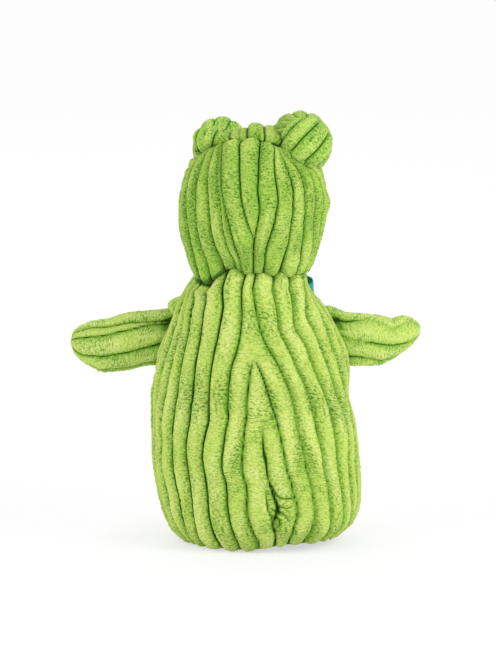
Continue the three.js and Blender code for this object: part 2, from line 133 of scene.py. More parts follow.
def seen_directly(tree):
    """1 where the camera, a mirror or glass looks at a surface, and 0 where only its light arrives."""
    ray = add_node(tree, "ShaderNodeLightPath")
    seen = ray.outputs["Is Camera Ray"]
    for kind in ("Is Glossy Ray", "Is Transmission Ray"):
        seen = add_node(tree, "ShaderNodeMath", {0: seen, 1: ray.outputs[kind]}, operation="MAXIMUM").outputs[0]
    return seen


def bare_material(name):
    """A new material and its empty node tree."""
    made = bpy.data.materials.new(name)
    made.use_nodes = True
    made.node_tree.nodes.clear()
    return made, made.node_tree


def height_seen(row, y):
    """Height of a point that lies at depth y and shows on a row of the photograph."""
    return ((FLOOR_ROW - row) * PIXEL - (BACK_REACH - y) * math.sin(CAMERA_RISE)) / math.cos(CAMERA_RISE)


middle_x, middle_z = (PLUMB_COLUMN - PHOTO_MIDDLE[0]) * PIXEL, height_seen(PHOTO_MIDDLE[1], 0)
camera = scene_object("camera", bpy.data.cameras.new("camera"))
camera.data.sensor_width = SENSOR_WIDTH
camera.data.lens = CAMERA_DISTANCE * SENSOR_WIDTH / (PHOTO_HEIGHT * PIXEL)
camera.data.clip_end = 4 * CAMERA_DISTANCE
back, rise = CAMERA_DISTANCE * math.cos(CAMERA_RISE), CAMERA_DISTANCE * math.sin(CAMERA_RISE)
look_from(camera, (middle_x, back, middle_z + rise), (middle_x, 0, middle_z))
bpy.context.scene.camera = camera
bpy.context.scene.view_settings.view_transform = "Standard"

for lamp_name, (place, side, power) in LAMPS.items():
    lamp = scene_object(lamp_name, bpy.data.lights.new(lamp_name, "AREA"))
    lamp.data.shape = "SQUARE"
    lamp.data.size = side
    lamp.data.energy = power
    look_from(lamp, place, LAMPS_MEET)

room = bpy.data.worlds.new("room")
bpy.context.scene.world = room
room.use_nodes = True
room.node_tree.nodes.clear()
shown, lit = [
    add_node(room.node_tree, "ShaderNodeBackground", {"Color": (1, 1, 1, 1), "Strength": strength}).outputs[0]
    for strength in (1.0, ROOM_LIGHT)
]
mixed = add_node(room.node_tree, "ShaderNodeMixShader", {0: seen_directly(room.node_tree), 1: lit, 2: shown})
add_node(room.node_tree, "ShaderNodeOutputWorld", {"Surface": mixed.outputs[0]})

bpy.ops.mesh.primitive_plane_add(size=60)
floor = bpy.context.object
floor.name = "paper_floor"
# Matt white paper that bounces plain light up at the frog and is seen as clean white.
paper, tree = bare_material("white_paper")
matt = add_node(tree, "ShaderNodeBsdfDiffuse", {"Color": linear("#fcfcfc")})
glow = add_node(tree, "ShaderNodeEmission", {"Color": (1, 1, 1, 1), "Strength": 1.0})
spot = add_node(tree, "ShaderNodeTexCoord")
away = add_node(tree, "ShaderNodeVectorMath", {0: spot.outputs["Object"]}, operation="LENGTH")
fade = {0: away.outputs["Value"], 1: PAPER_FROM, 2: PAPER_TO, 3: PAPER_WHITE_NEAR, 4: PAPER_WHITE_FAR}
white = add_node(tree, "ShaderNodeMapRange", fade)
share = add_node(tree, "ShaderNodeMath", {0: seen_directly(tree), 1: white.outputs[0]}, operation="MULTIPLY")
both = add_node(tree, "ShaderNodeMixShader", {0: share.outputs[0], 1: matt.outputs[0], 2: glow.outputs[0]})
add_node(tree, "ShaderNodeOutputMaterial", {"Surface": both.outputs[0]})
floor.data.materials.append(paper)

# ---------------------------------------------------------------------------
# Torso cover
# A gourd of jumbo corduroy plush, cut as two back panels and a front panel and
# sewn inside out. The wales keep their width, so they run into the back seam.
# ---------------------------------------------------------------------------
WALE = 11 * MM
GROOVE_DEPTH = 3.1 * MM
COVER_THICKNESS = 3.6 * MM
TORSO_COLUMNS = 376
TORSO_ROWS = 250
TORSO_SIDE_SEAM = math.radians(105.9)
BACK_WALE_STEP = math.radians(11.2)
FRONT_WALE_STEP = math.radians(11.1)
# Number of the first groove right of the middle wale, as wale_form counts them from right to left.
FIRST_RIGHT_GROOVE = 15
# Rows of the photograph between which the two wedges of cloth open beside the back seam, and the seam comes out.
WEDGES_OPEN = (351, 372)
SEAM_SHOWS = (408, 452)
# Where the cloth puckers above the root of the left arm.
PUCKER_TURN = math.radians(98)
# Height and half width of the crests, from the seam round the base to the gathered neck, in mm.
TORSO_PROFILE = [
    (3.2, 40.6), (1.4, 41.6), (0.7, 43.6), (1.3, 46.2), (4.2, 49.2), (8, 52.6), (12, 55), (18, 57.3), (25.4, 58.9),
    (38, 60.4), (54, 61), (71.6, 59.4), (89, 57.4), (103, 56.4), (116, 53.4), (127, 49), (136.7, 44.8),
    (141.5, 42), (147, 38), (152.4, 35), (156, 33.6), (158.4, 32.4), (159.2, 30), (159.3, 25.6),
]
# How far the torso's middle leans to one side at each height, in mm.
TORSO_LEAN = [(0, -4.5), (12, -4.6), (24, -3.8), (38, -2.2), (52, -0.8), (70, 0.4), (88, 1.8), (104, 0.8), (118, 0.8),
              (130, 1.4), (138, 2), (147, 3.2), (152.4, 3.4), (157, 2), (159.5, 1.4)]
# Points on the photograph that each groove of the back panels passes through, from the back seam outwards.
BACK_SEAM = [(253, 275), (253, 353), (258, 374), (262, 400), (263, 430), (263.5, 450), (266.7, 465), (267.7, 477),
             (272.3, 492.6), (278, 506), (276.4, 516), (273, 522), (275.4, 538.8), (278, 548)]
LEFT_GROOVES = [
    [(268, 290), (264, 320), (256, 350), (250, 374), (246.4, 400), (246.7, 415), (244, 429), (243, 444), (241.5, 459),
     (242, 474), (246, 485), (246.7, 497), (246, 513), (249.7, 524), (254, 537), (260, 545)],
    [(247, 275), (242, 316), (238, 344), (231, 366), (228, 388), (227.2, 408), (228.2, 418), (225, 430), (223.6, 442),
     (221.5, 457), (221, 469), (225, 480), (226.6, 493), (226.6, 506), (228.7, 520), (233.3, 536), (239.5, 546)],
    [(227, 274), (223, 307), (219, 325), (213, 353), (209.5, 378), (208.4, 405), (208.7, 419), (205.6, 431),
     (202.5, 444), (201.5, 457), (203.5, 471), (205.6, 482), (207, 498), (207.6, 513), (210.7, 528), (216.9, 542)],
    [(213, 275), (205, 301), (199, 335), (195, 362), (192.4, 395), (189.7, 408), (188.6, 421), (186, 433), (184, 446),
     (185, 459), (187, 473), (189, 487), (190.7, 503), (191.7, 516), (195, 531), (198.4, 542)],
    [(199, 275), (193, 301), (186, 335), (181, 366), (176.8, 395), (173.8, 408), (171.2, 426), (170.2, 441),
     (171.2, 457), (173.2, 477), (175.8, 493), (178.4, 508), (181, 521), (185, 533)],
    [(193.5, 275), (188, 300), (179, 330), (170, 366), (164.5, 395), (162.5, 407), (160.4, 424), (160.9, 446),
     (161.4, 465), (163.5, 482), (166, 498), (168, 510), (172, 522)],
]
RIGHT_GROOVES = [
    [(232, 290), (238, 320), (251, 350), (262, 376), (269, 396), (275, 413), (279, 428), (281.4, 440), (285, 456),
     (287, 470), (291.8, 482), (293.5, 494), (297.8, 505), (297.8, 515), (294, 527), (292.8, 537), (289.8, 545)],
    [(251, 285), (254, 301), (258.3, 323), (262.4, 336), (267.4, 347), (274, 357), (279, 366), (283.2, 376),
     (289, 389), (293, 400), (296.3, 413), (298, 430), (302.3, 443), (304.8, 456), (307, 470), (311.7, 485),
     (313.7, 500), (315.2, 510), (314.7, 520), (312.7, 528), (308.8, 540)],
    [(265, 270), (272.4, 287), (275.7, 303), (278.2, 316), (278.8, 328), (283.2, 338), (288, 346), (294, 360),
     (298, 370), (303, 380), (308, 392), (311.6, 401), (314.7, 413), (318.7, 433), (322.7, 452), (324.2, 468),
     (328.7, 485), (330.2, 500), (331.2, 515), (330.2, 530), (327.7, 538)],
    [(282, 270), (290.6, 287), (293, 299), (294.4, 312), (294.6, 323), (296.4, 329), (301.4, 336), (307.2, 345),
     (310.5, 356), (315.5, 370), (320.5, 382), (327.5, 397), (331.7, 410), (334.6, 428), (337.6, 448), (339.6, 470),
     (343, 490), (344.6, 505), (344.6, 515), (342, 530)],
    [(298, 275), (306.4, 286), (306.4, 303), (307, 316), (313, 325), (318.8, 336), (321.3, 346), (326.3, 358),
     (329.6, 366), (333, 377), (336.2, 389), (340.5, 402), (346, 420), (348.6, 435), (350, 452), (350.6, 470),
     (352, 490), (353, 510)],
    [(308, 280), (318, 308), (322, 316), (333, 347), (338, 356), (341.2, 370), (344, 386), (350, 405), (354, 425),
     (356.5, 452), (357, 480), (357.5, 500)],
]
# Short creases across the wales: column, row, half width and depth in mm.
TORSO_PINCHES = [
    (236, 484, 13, 1.1), (255, 486, 11, 0.9), (215, 487, 7, 0.6), (262, 299, 10, 0.8), (244, 343, 7, 0.5),
    (284, 329, 9, 0.8), (300, 331, 8, 0.7), (322, 516, 6, 0.5), (206, 420, 7, 0.5), (186, 425, 6, 0.5),
    (208, 333, 7, 0.5),
]
# The hand-stitched closing: the folds that its thread draws in, each with its half width in pixels and depth in mm.
CLOSING_FOLDS = [
    ([(272, 486), (275, 492), (279, 496.5), (285, 498.5), (292, 498)], 1.5, 2.2),
    ([(266, 490), (266.6, 500), (268, 510), (271, 517), (271.4, 525), (274, 533)], 1.4, 2.0),
    ([(277, 503), (279, 509), (280.5, 515)], 1.4, 1.7),
    ([(280, 506), (286, 507.5), (291, 506)], 1.2, 1.0),
    ([(281, 512), (286, 516), (289, 521)], 1.3, 1.3),
    ([(271, 508), (275, 511), (278, 511)], 1.2, 1.1),
    ([(276, 517), (280, 521), (279, 528)], 1.5, 1.4),
]


def lengths_along(line):
    """How far along a line each of its points lies."""
    return np.concatenate([[0], np.cumsum(np.linalg.norm(np.diff(line, axis=0), axis=1))])


def smooth_through(points, count):
    """A smooth line through the points, as evenly spaced as count allows."""
    points = np.array(points, float)
    padded = np.vstack([2 * points[0] - points[1], points, 2 * points[-1] - points[-2]])
    t = np.linspace(0, 1, 24, endpoint=False)[:, None]
    runs = []
    for a, b, c, d in zip(padded, padded[1:], padded[2:], padded[3:]):
        lead = (c - a) * min(1, np.linalg.norm(c - b) / max(np.linalg.norm(b - a), 1e-9)) / 2
        tail = (d - b) * min(1, np.linalg.norm(c - b) / max(np.linalg.norm(d - c), 1e-9)) / 2
        from_b, to_c = 2 * t**3 - 3 * t**2 + 1, 3 * t**2 - 2 * t**3
        runs.append(from_b * b + (t**3 - 2 * t**2 + t) * lead + to_c * c + (t**3 - t**2) * tail)
    line = np.vstack(runs + [points[-1:]])
    along = lengths_along(line)
    even = np.linspace(0, along[-1], count)
    return np.column_stack([np.interp(even, along, line[:, i]) for i in range(line.shape[1])])


def ease(value, low, high):
    """0 below low, 1 above high, smooth between."""
    share = np.clip((value - low) / (high - low), 0, 1)
    return share * share * (3 - 2 * share)


def near(distance, reach):
    """1 on a line and fading to nothing at about twice the reach from it."""
    return np.exp(-((distance / reach) ** 2))


def blurred(line, reach, softness, mode="edge"):
    """A line of values, each softened with its neighbours."""
    blur = np.exp(-0.5 * (np.arange(-reach, reach + 1) / softness) ** 2)
    return np.convolve(np.pad(line, reach, mode=mode), blur / blur.sum(), mode="valid")


def mottle(u, v, seed):
    """Smooth seeded noise from -1 to 1, one cell to a unit."""
    cell_u, cell_v = np.floor(u).astype(np.int64), np.floor(v).astype(np.int64)
    part_u, part_v = u - cell_u, v - cell_v
    part_u, part_v = part_u * part_u * (3 - 2 * part_u), part_v * part_v * (3 - 2 * part_v)

    def corner(a, b):
        mixed_bits = (a * 374761393 + b * 668265263 + seed * 974634777) & 0xFFFFFFFF
        mixed_bits = ((mixed_bits ^ (mixed_bits >> 13)) * 1274126177) & 0xFFFFFFFF
        return ((mixed_bits ^ (mixed_bits >> 16)) & 0xFFFF) / 32767.5 - 1

    lower = corner(cell_u, cell_v) * (1 - part_u) + corner(cell_u + 1, cell_v) * part_u
    upper = corner(cell_u, cell_v + 1) * (1 - part_u) + corner(cell_u + 1, cell_v + 1) * part_u
    return lower * (1 - part_v) + upper * part_v


def photo_place(points):
    """Column and row of the photograph at which points of the frog are seen."""
    column = PLUMB_COLUMN - points[..., 0] / PIXEL
    reach = (BACK_REACH - points[..., 1]) * math.sin(CAMERA_RISE)
    return column, FLOOR_ROW - (points[..., 2] * math.cos(CAMERA_RISE) + reach) / PIXEL


def groove_turn(groove, heights, half_width, half_depth, middle, low, high):
    """The turn about the body, 0 at the back, at which a groove crosses each height between low and high."""
    columns, rows = np.array(groove, float).T
    x = (PLUMB_COLUMN - columns) * PIXEL
    y = np.zeros(len(x))
    for _ in range(8):
        z = height_seen(rows, y)
        side = np.clip((x - middle(z)) / half_width(z), -0.995, 0.995)
        y = half_depth(z) * np.sqrt(1 - side**2)
    order = np.argsort(z)
    return blurred(np.interp(np.clip(heights, low, high), z[order], np.arcsin(side)[order]), 8, 3)


def wale_height(phase):
    """Round crest and sharp groove of one wale: 0 in the groove, 1 on the crest."""
    across = np.abs(2 * (phase - np.floor(phase)) - 1)
    return (1 - across**2.4) ** 0.58


def groove_shade_sharpened(crest, share, ground=0.18):
    """Crest heights for the pile's colours, with darker painted shade in the grooves and broader pale crests."""
    return crest + share * (ease(crest, ground, 0.72) - crest)


def pile_relief(u, v):
    """Tufts of the pile, in metres: strokes across the wale where it has parted, and a fine grain."""
    parted = ease(mottle(u / (9 * MM), v / (13 * MM), 3) + 0.4 * mottle(u / (3 * MM), v / (5 * MM), 4), -0.25, 0.6)
    strokes = mottle(u / (2.6 * MM), v / (1.15 * MM), 5) + 0.6 * mottle(u / (1.5 * MM), v / (1.5 * MM), 6)
    grain = mottle(u / (1.1 * MM), v / (1.1 * MM), 7)
    return (0.42 * parted * np.minimum(strokes, 0.5) + 0.2 * grain + 0.12 * (1 - parted)) * MM


def surface_normals(points):
    """Outward normals of a grid of points, rows upwards and columns round."""
    around = np.roll(points, -1, axis=1) - np.roll(points, 1, axis=1)
    normals = np.cross(np.gradient(points, axis=0), around)
    return normals / np.maximum(np.linalg.norm(normals, axis=2, keepdims=True), 1e-12)


def rings_mesh(name, rings, cloth=None, crest=None, poles=True):
    """A closed mesh through rings of equal count. Poles close its ends, or else the last ring joins the first."""
    rows, columns = len(rings), len(rings[0])
    points = np.vstack(rings)
    first, following = np.arange(columns), np.roll(np.arange(columns), -1)
    bands = [(i * columns, (i + 1) % rows * columns) for i in range(rows - 1 if poles else rows)]
    quads = np.vstack([np.column_stack([a + first, a + following, b + following, b + first]) for a, b in bands])
    triangles = np.zeros((0, 3), int)
    if poles:
        last, foot = (rows - 1) * columns, np.full(columns, len(points))
        caps = [(following, first, foot), (last + first, last + following, foot + 1)]
        triangles = np.vstack([np.column_stack(cap) for cap in caps])
        points = np.vstack([points, rings[0].mean(axis=0), rings[-1].mean(axis=0)])
    a, b, c, d = (points[quads[:, corner]] for corner in range(4))
    if np.einsum("ij,ij->", a, np.cross(b, c)) + np.einsum("ij,ij->", a, np.cross(c, d)) < 0:
        quads, triangles = quads[:, ::-1], triangles[:, ::-1]
    corners = np.concatenate([quads.ravel(), triangles.ravel()]).astype(np.int32)
    counts = np.concatenate([np.full(len(quads), 4), np.full(len(triangles), 3)])
    mesh = bpy.data.meshes.new(name)
    mesh.vertices.add(len(points))
    mesh.vertices.foreach_set("co", points.astype(np.float32).ravel())
    mesh.loops.add(len(corners))
    mesh.loops.foreach_set("vertex_index", corners)
    mesh.polygons.add(len(counts))
    mesh.polygons.foreach_set("loop_start", np.concatenate([[0], np.cumsum(counts)[:-1]]).astype(np.int32))
    mesh.polygons.foreach_set("use_smooth", np.ones(len(counts), bool))
    mesh.update()
    if cloth is not None:
        spots = np.zeros((len(points), 2), np.float32)
        spots[: cloth.size // 2] = cloth.reshape(-1, 2)
        mesh.uv_layers.new(name="cloth").data.foreach_set("uv", spots[corners].ravel())
    # The crest attribute carries the painted shade that the plush's colours are drawn by.
    if crest is not None:
        values = np.zeros(len(points), np.float32)
        values[: crest.size] = crest.ravel()
        mesh.attributes.new("crest", "FLOAT", "POINT").data.foreach_set("value", values)
    mesh.validate()
    return scene_object(name, mesh)


# How far the gathered seam of the neck wanders up, in mm, by turn about the body in degrees.
NECK_CREASE = [(-180, 0.6), (-150, -0.4), (-120, 0.5), (-95, 0), (-64, 0), (-49, -0.8), (-40, -1.5), (-31, 2),
               (-25, -0.5), (-17, 0.1), (-8, 2.4), (1, 1.4), (9, 1.6), (17, 4), (24, 4.2), (30, 1.9), (38, -1.2),
               (46, -5), (56, -5.2), (66, -3.8), (84, -2.2), (110, 0), (145, 0.6), (180, 0.6)]


def neck_wave(turn):
    """How far the gathered seam of the neck wanders up or down round the body."""
    even = np.linspace(-180, 180, 361)
    at, rise = np.array(NECK_CREASE, float).T
    return np.interp(np.degrees(turn), even, blurred(np.interp(even, at, rise), 6, 2.2, "wrap")) * MM


def neck_slope(z, turns):
    """How much higher the cloth about the neck lies behind than in front."""
    return 3.6 * MM * np.cos(turns) * near(z - 160 * MM, 16 * MM)


def turned_form(middle, radii, depths, heights, turns):
    """A grid of points on rings about an upright line, each as deep as its share of its width."""
    sides, backs = middle + radii * np.sin(turns), radii * depths * np.cos(turns)
    return np.stack(np.broadcast_arrays(sides, backs, heights), axis=-1)


def corduroy_plush(name, ruffled, tip, pale, mid, side, deep, groove_shade_colour):
    """Jumbo corduroy plush: matt brushed pile with a soft bloom at its edges, and its light and shade painted into its
    colour: painted shade in the grooves and on the flanks, paler painted light on the crests.
    """
    made, tree = bare_material(name)
    place = add_node(tree, "ShaderNodeUVMap", uv_map="cloth")
    # The crest attribute is the wale's height with painted shade folded in: low in grooves, seams and creases, which
    # the layers below draw darker.
    crest = add_node(tree, "ShaderNodeAttribute", attribute_name="crest")
    # Across one wale, 0 in the groove on its right and 1 in the groove on its left.
    split = add_node(tree, "ShaderNodeSeparateXYZ", {0: place.outputs[0]})
    wales = add_node(tree, "ShaderNodeMath", {0: split.outputs[0], 1: WALE}, operation="DIVIDE")
    values = {
        "height": crest.outputs["Fac"],
        "across": add_node(tree, "ShaderNodeMath", {0: wales.outputs[0]}, operation="FRACT").outputs[0],
    }
    # Noise across and along the wale, in features to the metre: patches of nap 15 and 10 mm wide, tufts 1.5 mm
    # wide, and the strokes where the pile has parted, 3.5 mm across the wale and 1 mm along it.
    for pattern, across, along, detail, rough in [
        ("nap", 80, 36, 3, 0.55),
        ("patch", 85, 34, 3, 0.62),
        ("tuft", 640, 820, 4, 0.66),
        ("stroke", 300, 1100, 3, 0.6),
    ]:
        scaled = add_node(tree, "ShaderNodeMapping", {"Vector": place.outputs[0], "Scale": (across, along, 1)})
        noise = {"Vector": scaled.outputs[0], "Scale": 1.0, "Detail": detail, "Roughness": rough}
        values[pattern] = add_node(tree, "ShaderNodeTexNoise", noise, noise_dimensions="2D").outputs[0]
    # The part of each value that counts, from where it is 0 to where it is 1.
    for band, source, low, high in [
        ("above_ground", "height", 0.13, 0.38),
        ("on_side", "height", 0.28, 0.55),
        ("on_crest", "height", 0.45, 0.86),
        ("low_side", "height", 0.97, 0.6),
        ("nap_shaded_flank", "across", 0.46, 0.1),
        ("nap_up", "nap", 0.38, 0.62),
        ("parted", "patch", 0.52 - ruffled, 0.70 - ruffled),
        ("hole", "tuft", 0.50, 0.34),
        ("fringe", "stroke", 0.50, 0.36),
        ("tuft_tip", "tuft", 0.5, 0.8),
    ]:
        limits = {"Value": values[source], "From Min": low, "From Max": high}
        values[band] = add_node(tree, "ShaderNodeMapRange", limits).outputs[0]
    # What the eye gets, laid one over another: painted shade in the grooves and on the deep sides, a pale lit crest,
    # painted shade on one side of each wale where the pile leans away, paler nap, then painted shade in the holes and
    # combed fringes between tufts, and a painted highlight on their tips.
    colour = linear(groove_shade_colour)
    for over, strength, shares in [
        (deep, 1.0, ("above_ground",)),
        (side, 1.0, ("on_side",)),
        (mid, 1.0, ("on_crest",)),
        (pale, 0.85, ("on_crest", "nap_up")),
        (side, 0.55, ("nap_shaded_flank", "above_ground")),
        (side, 0.7, ("hole", "on_side")),
        (side, 0.4, ("fringe", "on_side")),
        (side, 0.35 + ruffled, ("parted", "on_side")),
        (deep, 0.5, ("nap_shaded_flank", "hole", "above_ground")),
        (deep, 0.85, ("parted", "hole", "above_ground")),
        (groove_shade_colour, 0.38, ("parted", "hole", "fringe")),
        (deep, 0.45, ("fringe", "parted")),
        (deep, 0.5, ("low_side", "fringe", "on_side")),
        (tip, 0.5, ("tuft_tip", "on_side")),
    ]:
        share = strength
        for band in shares:
            share = add_node(tree, "ShaderNodeMath", {0: share, 1: values[band]}, operation="MULTIPLY").outputs[0]
        colour = add_node(tree, "ShaderNodeMix", {0: share, 6: colour, 7: linear(over)}, data_type="RGBA").outputs[2]
    relief = add_node(tree, "ShaderNodeMath", {0: values["tuft"], 1: values["stroke"]}, operation="ADD")
    bump = add_node(tree, "ShaderNodeBump", {"Strength": 0.75, "Distance": 0.7 * MM, "Height": relief.outputs[0]})
    shade = add_node(
        tree,
        "ShaderNodeBsdfPrincipled",
        {
            "Base Color": colour,
            "Roughness": 0.92,
            "Specular IOR Level": 0.1,
            "Sheen Weight": 0.7,
            "Sheen Roughness": 0.4,
            "Sheen Tint": linear("#dff08c"),
            "Normal": bump.outputs[0],
        },
    )
    add_node(tree, "ShaderNodeOutputMaterial", {"Surface": shade.outputs[0]})
    return made


brushed_plush = corduroy_plush(
    "lime_corduroy_plush", 0.04, "#e8ef9c", "#e1ea8a", "#c8dd6a", "#8abb3b", "#437a1a", "#1e400c"
)

torso_line = smooth_through(TORSO_PROFILE, TORSO_ROWS) * MM
torso_heights, torso_radii = torso_line.T
outer_part = np.arange(TORSO_ROWS) > np.argmin(torso_heights)
depth_share = lambda z: 0.84 + 0.16 * ease(z, 80 * MM, 150 * MM)
torso_half_width = lambda z: np.interp(z, torso_heights[outer_part], torso_radii[outer_part])
torso_half_depth = lambda z: torso_half_width(z) * depth_share(z)
lean_heights, lean_offsets = (np.array(TORSO_LEAN) * MM).T
torso_middle = lambda z: np.interp(z, lean_heights, lean_offsets)

turns = -np.pi + 2 * np.pi * (np.arange(TORSO_COLUMNS) + 0.5) / TORSO_COLUMNS
torso_form = (torso_heights, torso_half_width, torso_half_depth, torso_middle, 7 * MM, 150 * MM)
seam_turn = groove_turn(BACK_SEAM, *torso_form)
left_turns = [groove_turn(groove, *torso_form) for groove in LEFT_GROOVES]
right_turns = [groove_turn(groove, *torso_form) for groove in RIGHT_GROOVES]


def wale_form(turns, marks, radii, step):
    """Crest height, relief and count of the wales whose grooves are at the marked turns of each row."""
    shape = (len(radii), len(turns))
    count, width = np.zeros(shape), np.zeros(shape)
    # Beyond the marked grooves the wales lie evenly and wander less and less.
    first, last = [(blurred(m, 60, 26), m) for m in (marks[0], marks[-1])]
    beyond = np.arange(1, 17)
    for row, reach in enumerate(radii):
        known = np.maximum.accumulate(np.array([m[row] for m in marks]) + 1e-4 * np.arange(len(marks)))
        before, after = [calm[row] + (m[row] - calm[row]) * 0.55**beyond for calm, m in (first, last)]
        known = np.concatenate([(before - step * beyond)[::-1], known, after + step * beyond])
        count[row] = np.interp(turns, known, np.arange(len(known)))
        spot = np.clip(np.searchsorted(known, turns) - 1, 0, len(known) - 2)
        width[row] = np.diff(known)[spot] * reach
    crest = wale_height(count)
    relief = (crest - 1) * np.clip(0.3 * width, 0.3 * MM, GROOVE_DEPTH)
    relief += np.clip(width - WALE, 0, 6 * MM) * 0.12 - 2.2 * MM * (1 - ease(width, 0, 6 * MM))
    return crest, relief, count


_, seam_row = photo_place(np.stack([0 * torso_heights, torso_half_depth(torso_heights), torso_heights], axis=-1))
closed_left = [np.maximum(left_turns[0], seam_turn + 1e-3)] + left_turns[1:]
closed_right = [np.minimum(right_turns[0], seam_turn - 1e-3)] + right_turns[1:]
# Up the back the wales are plain, then two wedges join them, and at the foot the seam parts them.
plain, wedge, parted = [
    wale_form(turns, marks, torso_radii, BACK_WALE_STEP)
    for marks in (
        closed_right[:0:-1] + closed_left[1:],
        closed_right[::-1] + closed_left,
        closed_right[::-1] + [seam_turn] + closed_left,
    )
]
front_turn = np.where(turns > 0, turns - np.pi, turns + np.pi)
front_marks = [0 * torso_radii + FRONT_WALE_STEP * (k + 0.5) for k in range(-3, 3)]
front = wale_form(front_turn, front_marks, torso_radii, FRONT_WALE_STEP)
opens = ease(seam_row, *WEDGES_OPEN)[:, None]
shows = ease(seam_row, *SEAM_SHOWS)[:, None]
on_front = np.abs(turns)[None, :] > TORSO_SIDE_SEAM
crest, relief = [
    np.where(on_front, front[i], (plain[i] * (1 - opens) + wedge[i] * opens) * (1 - shows) + parted[i] * shows)
    for i in (0, 1)
]
# The wales are counted from the back seam outwards, so that the pile's pattern breaks only in a groove there.
outwards = turns > np.where(shows < 0.5, closed_right[0][:, None], seam_turn[:, None])
plain_count, wedge_count, parted_count = [
    form[2] - (len(closed_right) - 1) - np.where(outwards, extra, 0)
    for form, extra in ((plain, 0), (wedge, 2), (parted, 3))
]
count = np.where(opens < 0.5, plain_count, np.where(shows < 0.5, wedge_count, parted_count))
count = np.where(on_front, front[2] + 0.5, count)
from_side = torso_radii[:, None] * np.abs(np.abs(turns) - TORSO_SIDE_SEAM)
from_back_seam = torso_radii[:, None] * np.abs(turns - seam_turn[:, None])

z = torso_heights[:, None] + 0 * turns[None, :]
base = turned_form(torso_middle(z), torso_radii[:, None], depth_share(z), z + neck_slope(z, turns), turns)
normals = surface_normals(base)
# On the right of the back the pile is brushed over the grooves, most of all towards the side.
brushed_over = (0.1 * ease(-turns, 0.2, 0.5) + 0.4 * ease(-turns, 1.05, 1.3))[None, :] * ~on_front
relief *= 1 - 0.8 * brushed_over
relief -= 1.9 * MM * near(from_side, 1.3 * MM)
relief -= 1.1 * MM * shows * near(from_back_seam, 1.1 * MM)
columns, rows = photo_place(base)
on_back = base[..., 1] > 0
fold_shade_factor = np.ones(columns.shape)
for column, row, half, deep in TORSO_PINCHES:
    mark = np.exp(-(((columns - column) / half) ** 4) - (((rows - row) / 1.5) ** 2))
    relief -= deep * MM * mark * on_back
for fold, half, deep in CLOSING_FOLDS:
    nearest = np.full(columns.shape, 99.0)
    for place in smooth_through(fold, 40):
        nearest = np.minimum(nearest, np.hypot(columns - place[0], rows - place[1]))
    relief -= deep * MM * near(nearest, half) * on_back
    fold_shade_factor = np.minimum(fold_shade_factor, 1 - 0.8 * near(nearest, 0.8 * half) * on_back)
# On the right of the back the pile leans the other way: past the first groove its pattern is turned over, so the
# painted shade lies on the other flank of each wale, and its strokes slant down.
over = np.where(outwards | on_front, 0, np.maximum(FIRST_RIGHT_GROOVE - count, 0))
along = lengths_along(torso_line)[:, None] + 0.3 * WALE * over
across = (count + 2 * over) * WALE
relief += pile_relief(across, along) * ease(crest, 0.1, 0.6)
relief += 0.7 * MM * mottle(turns[None, :] * 2.6 + 0 * z, z / (26 * MM), 11)
# Each wale swells and slackens along its own length.
relief += 0.7 * MM * crest * mottle(np.floor(count), along / (14 * MM), 13)
# The cloth puckers above the root of the left arm.
beside = near(torso_radii[:, None] * (turns - PUCKER_TURN), 7.5 * MM)
pucker = beside * (1 - ease(z, 138 * MM, 145.5 * MM)) * ease(z, 132.6 * MM, 136.4 * MM)
tuck = beside * near(z - 134.4 * MM, 1.5 * MM) * (1 - ease(turns, PUCKER_TURN, PUCKER_TURN + math.radians(8)))
relief += (5.2 * pucker - 1.2 * tuck) * MM
relief *= 1 - 0.7 * ease(z, 158.2 * MM, 159.3 * MM)
outer = base + normals * relief[..., None]
gather = ease(z, 146 * MM, 158.5 * MM)
outer[..., 2] += (neck_wave(turns)[None, :] - 1.7 * MM * (1 - crest)) * gather
# The foot is rounder on its right, so the cloth leaves the floor earlier there.
foot_lift = lambda x: 3 * MM * ease(-x, -6 * MM, 22 * MM)
outer[..., 2] += foot_lift(outer[..., 0]) * (1 - ease(z, 2 * MM, 18 * MM))
# The back seam gapes in two places and is covered by its pile in between.
gapes = np.maximum(ease(rows, 449, 453) * (1 - ease(rows, 461, 466)), ease(rows, 490, 496) * (1 - ease(rows, 518, 524)))
near_seam = shows * (1 - ease(from_back_seam, 0.6 * MM, 2.4 * MM)) * on_back
crest_with_painted_shade = groove_shade_sharpened(crest, 0.9 * ease(turns, 0.1, 0.5)[None, :], 0.3)
crest_with_painted_shade = 1 - (1 - crest_with_painted_shade) * (1 - brushed_over) * (1 - 0.5 * near_seam * (1 - gapes))
# Painted shade darkens the back seam, wider where it gapes.
crest_with_painted_shade *= 1 - shows * (1 - ease(from_back_seam, 0, (0.7 + 0.5 * gapes) * MM))
# The neck crease holds deep shade, most on its left.
crease_shade = (0.35 + 0.5 * ease(turns, 0.35, 0.6) * (1 - ease(turns, 1.2, 1.5)))[None, :]
crest_with_painted_shade *= 1 - crease_shade * ease(z, 155.2 * MM, 158.2 * MM)
inner_rows = np.linspace(TORSO_ROWS - 1, 0, 14).astype(int)
inner = base[inner_rows] - normals[inner_rows] * (COVER_THICKNESS + 0.4 * MM)
outer[..., 2] = np.maximum(outer[..., 2], 0.25 * MM)
# Painted shade darkens the closing's folds, the pucker a little, the tuck under it and the side seam.
crest_with_painted_shade = crest_with_painted_shade * fold_shade_factor * (1 - 0.3 * pucker) * (1 - 0.8 * tuck) * ease(from_side, 0, 1.5 * MM)
cloth = np.stack([across, along], axis=-1)
torso_cover = rings_mesh("torso_cover", [*outer, *inner], cloth, crest_with_painted_shade, poles=False)
torso_cover.data.materials.append(brushed_plush)
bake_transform(torso_cover)
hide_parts("torso_back_left_panel", "torso_back_right_panel", "torso_front_panel")

# ---------------------------------------------------------------------------
# Head cover
# Two back panels and a face panel of the same cloth, joined behind the crown
# by a seam in which the wales of the back end round and full.
# ---------------------------------------------------------------------------
HEAD_COLUMNS = 340
HEAD_ROWS = 205
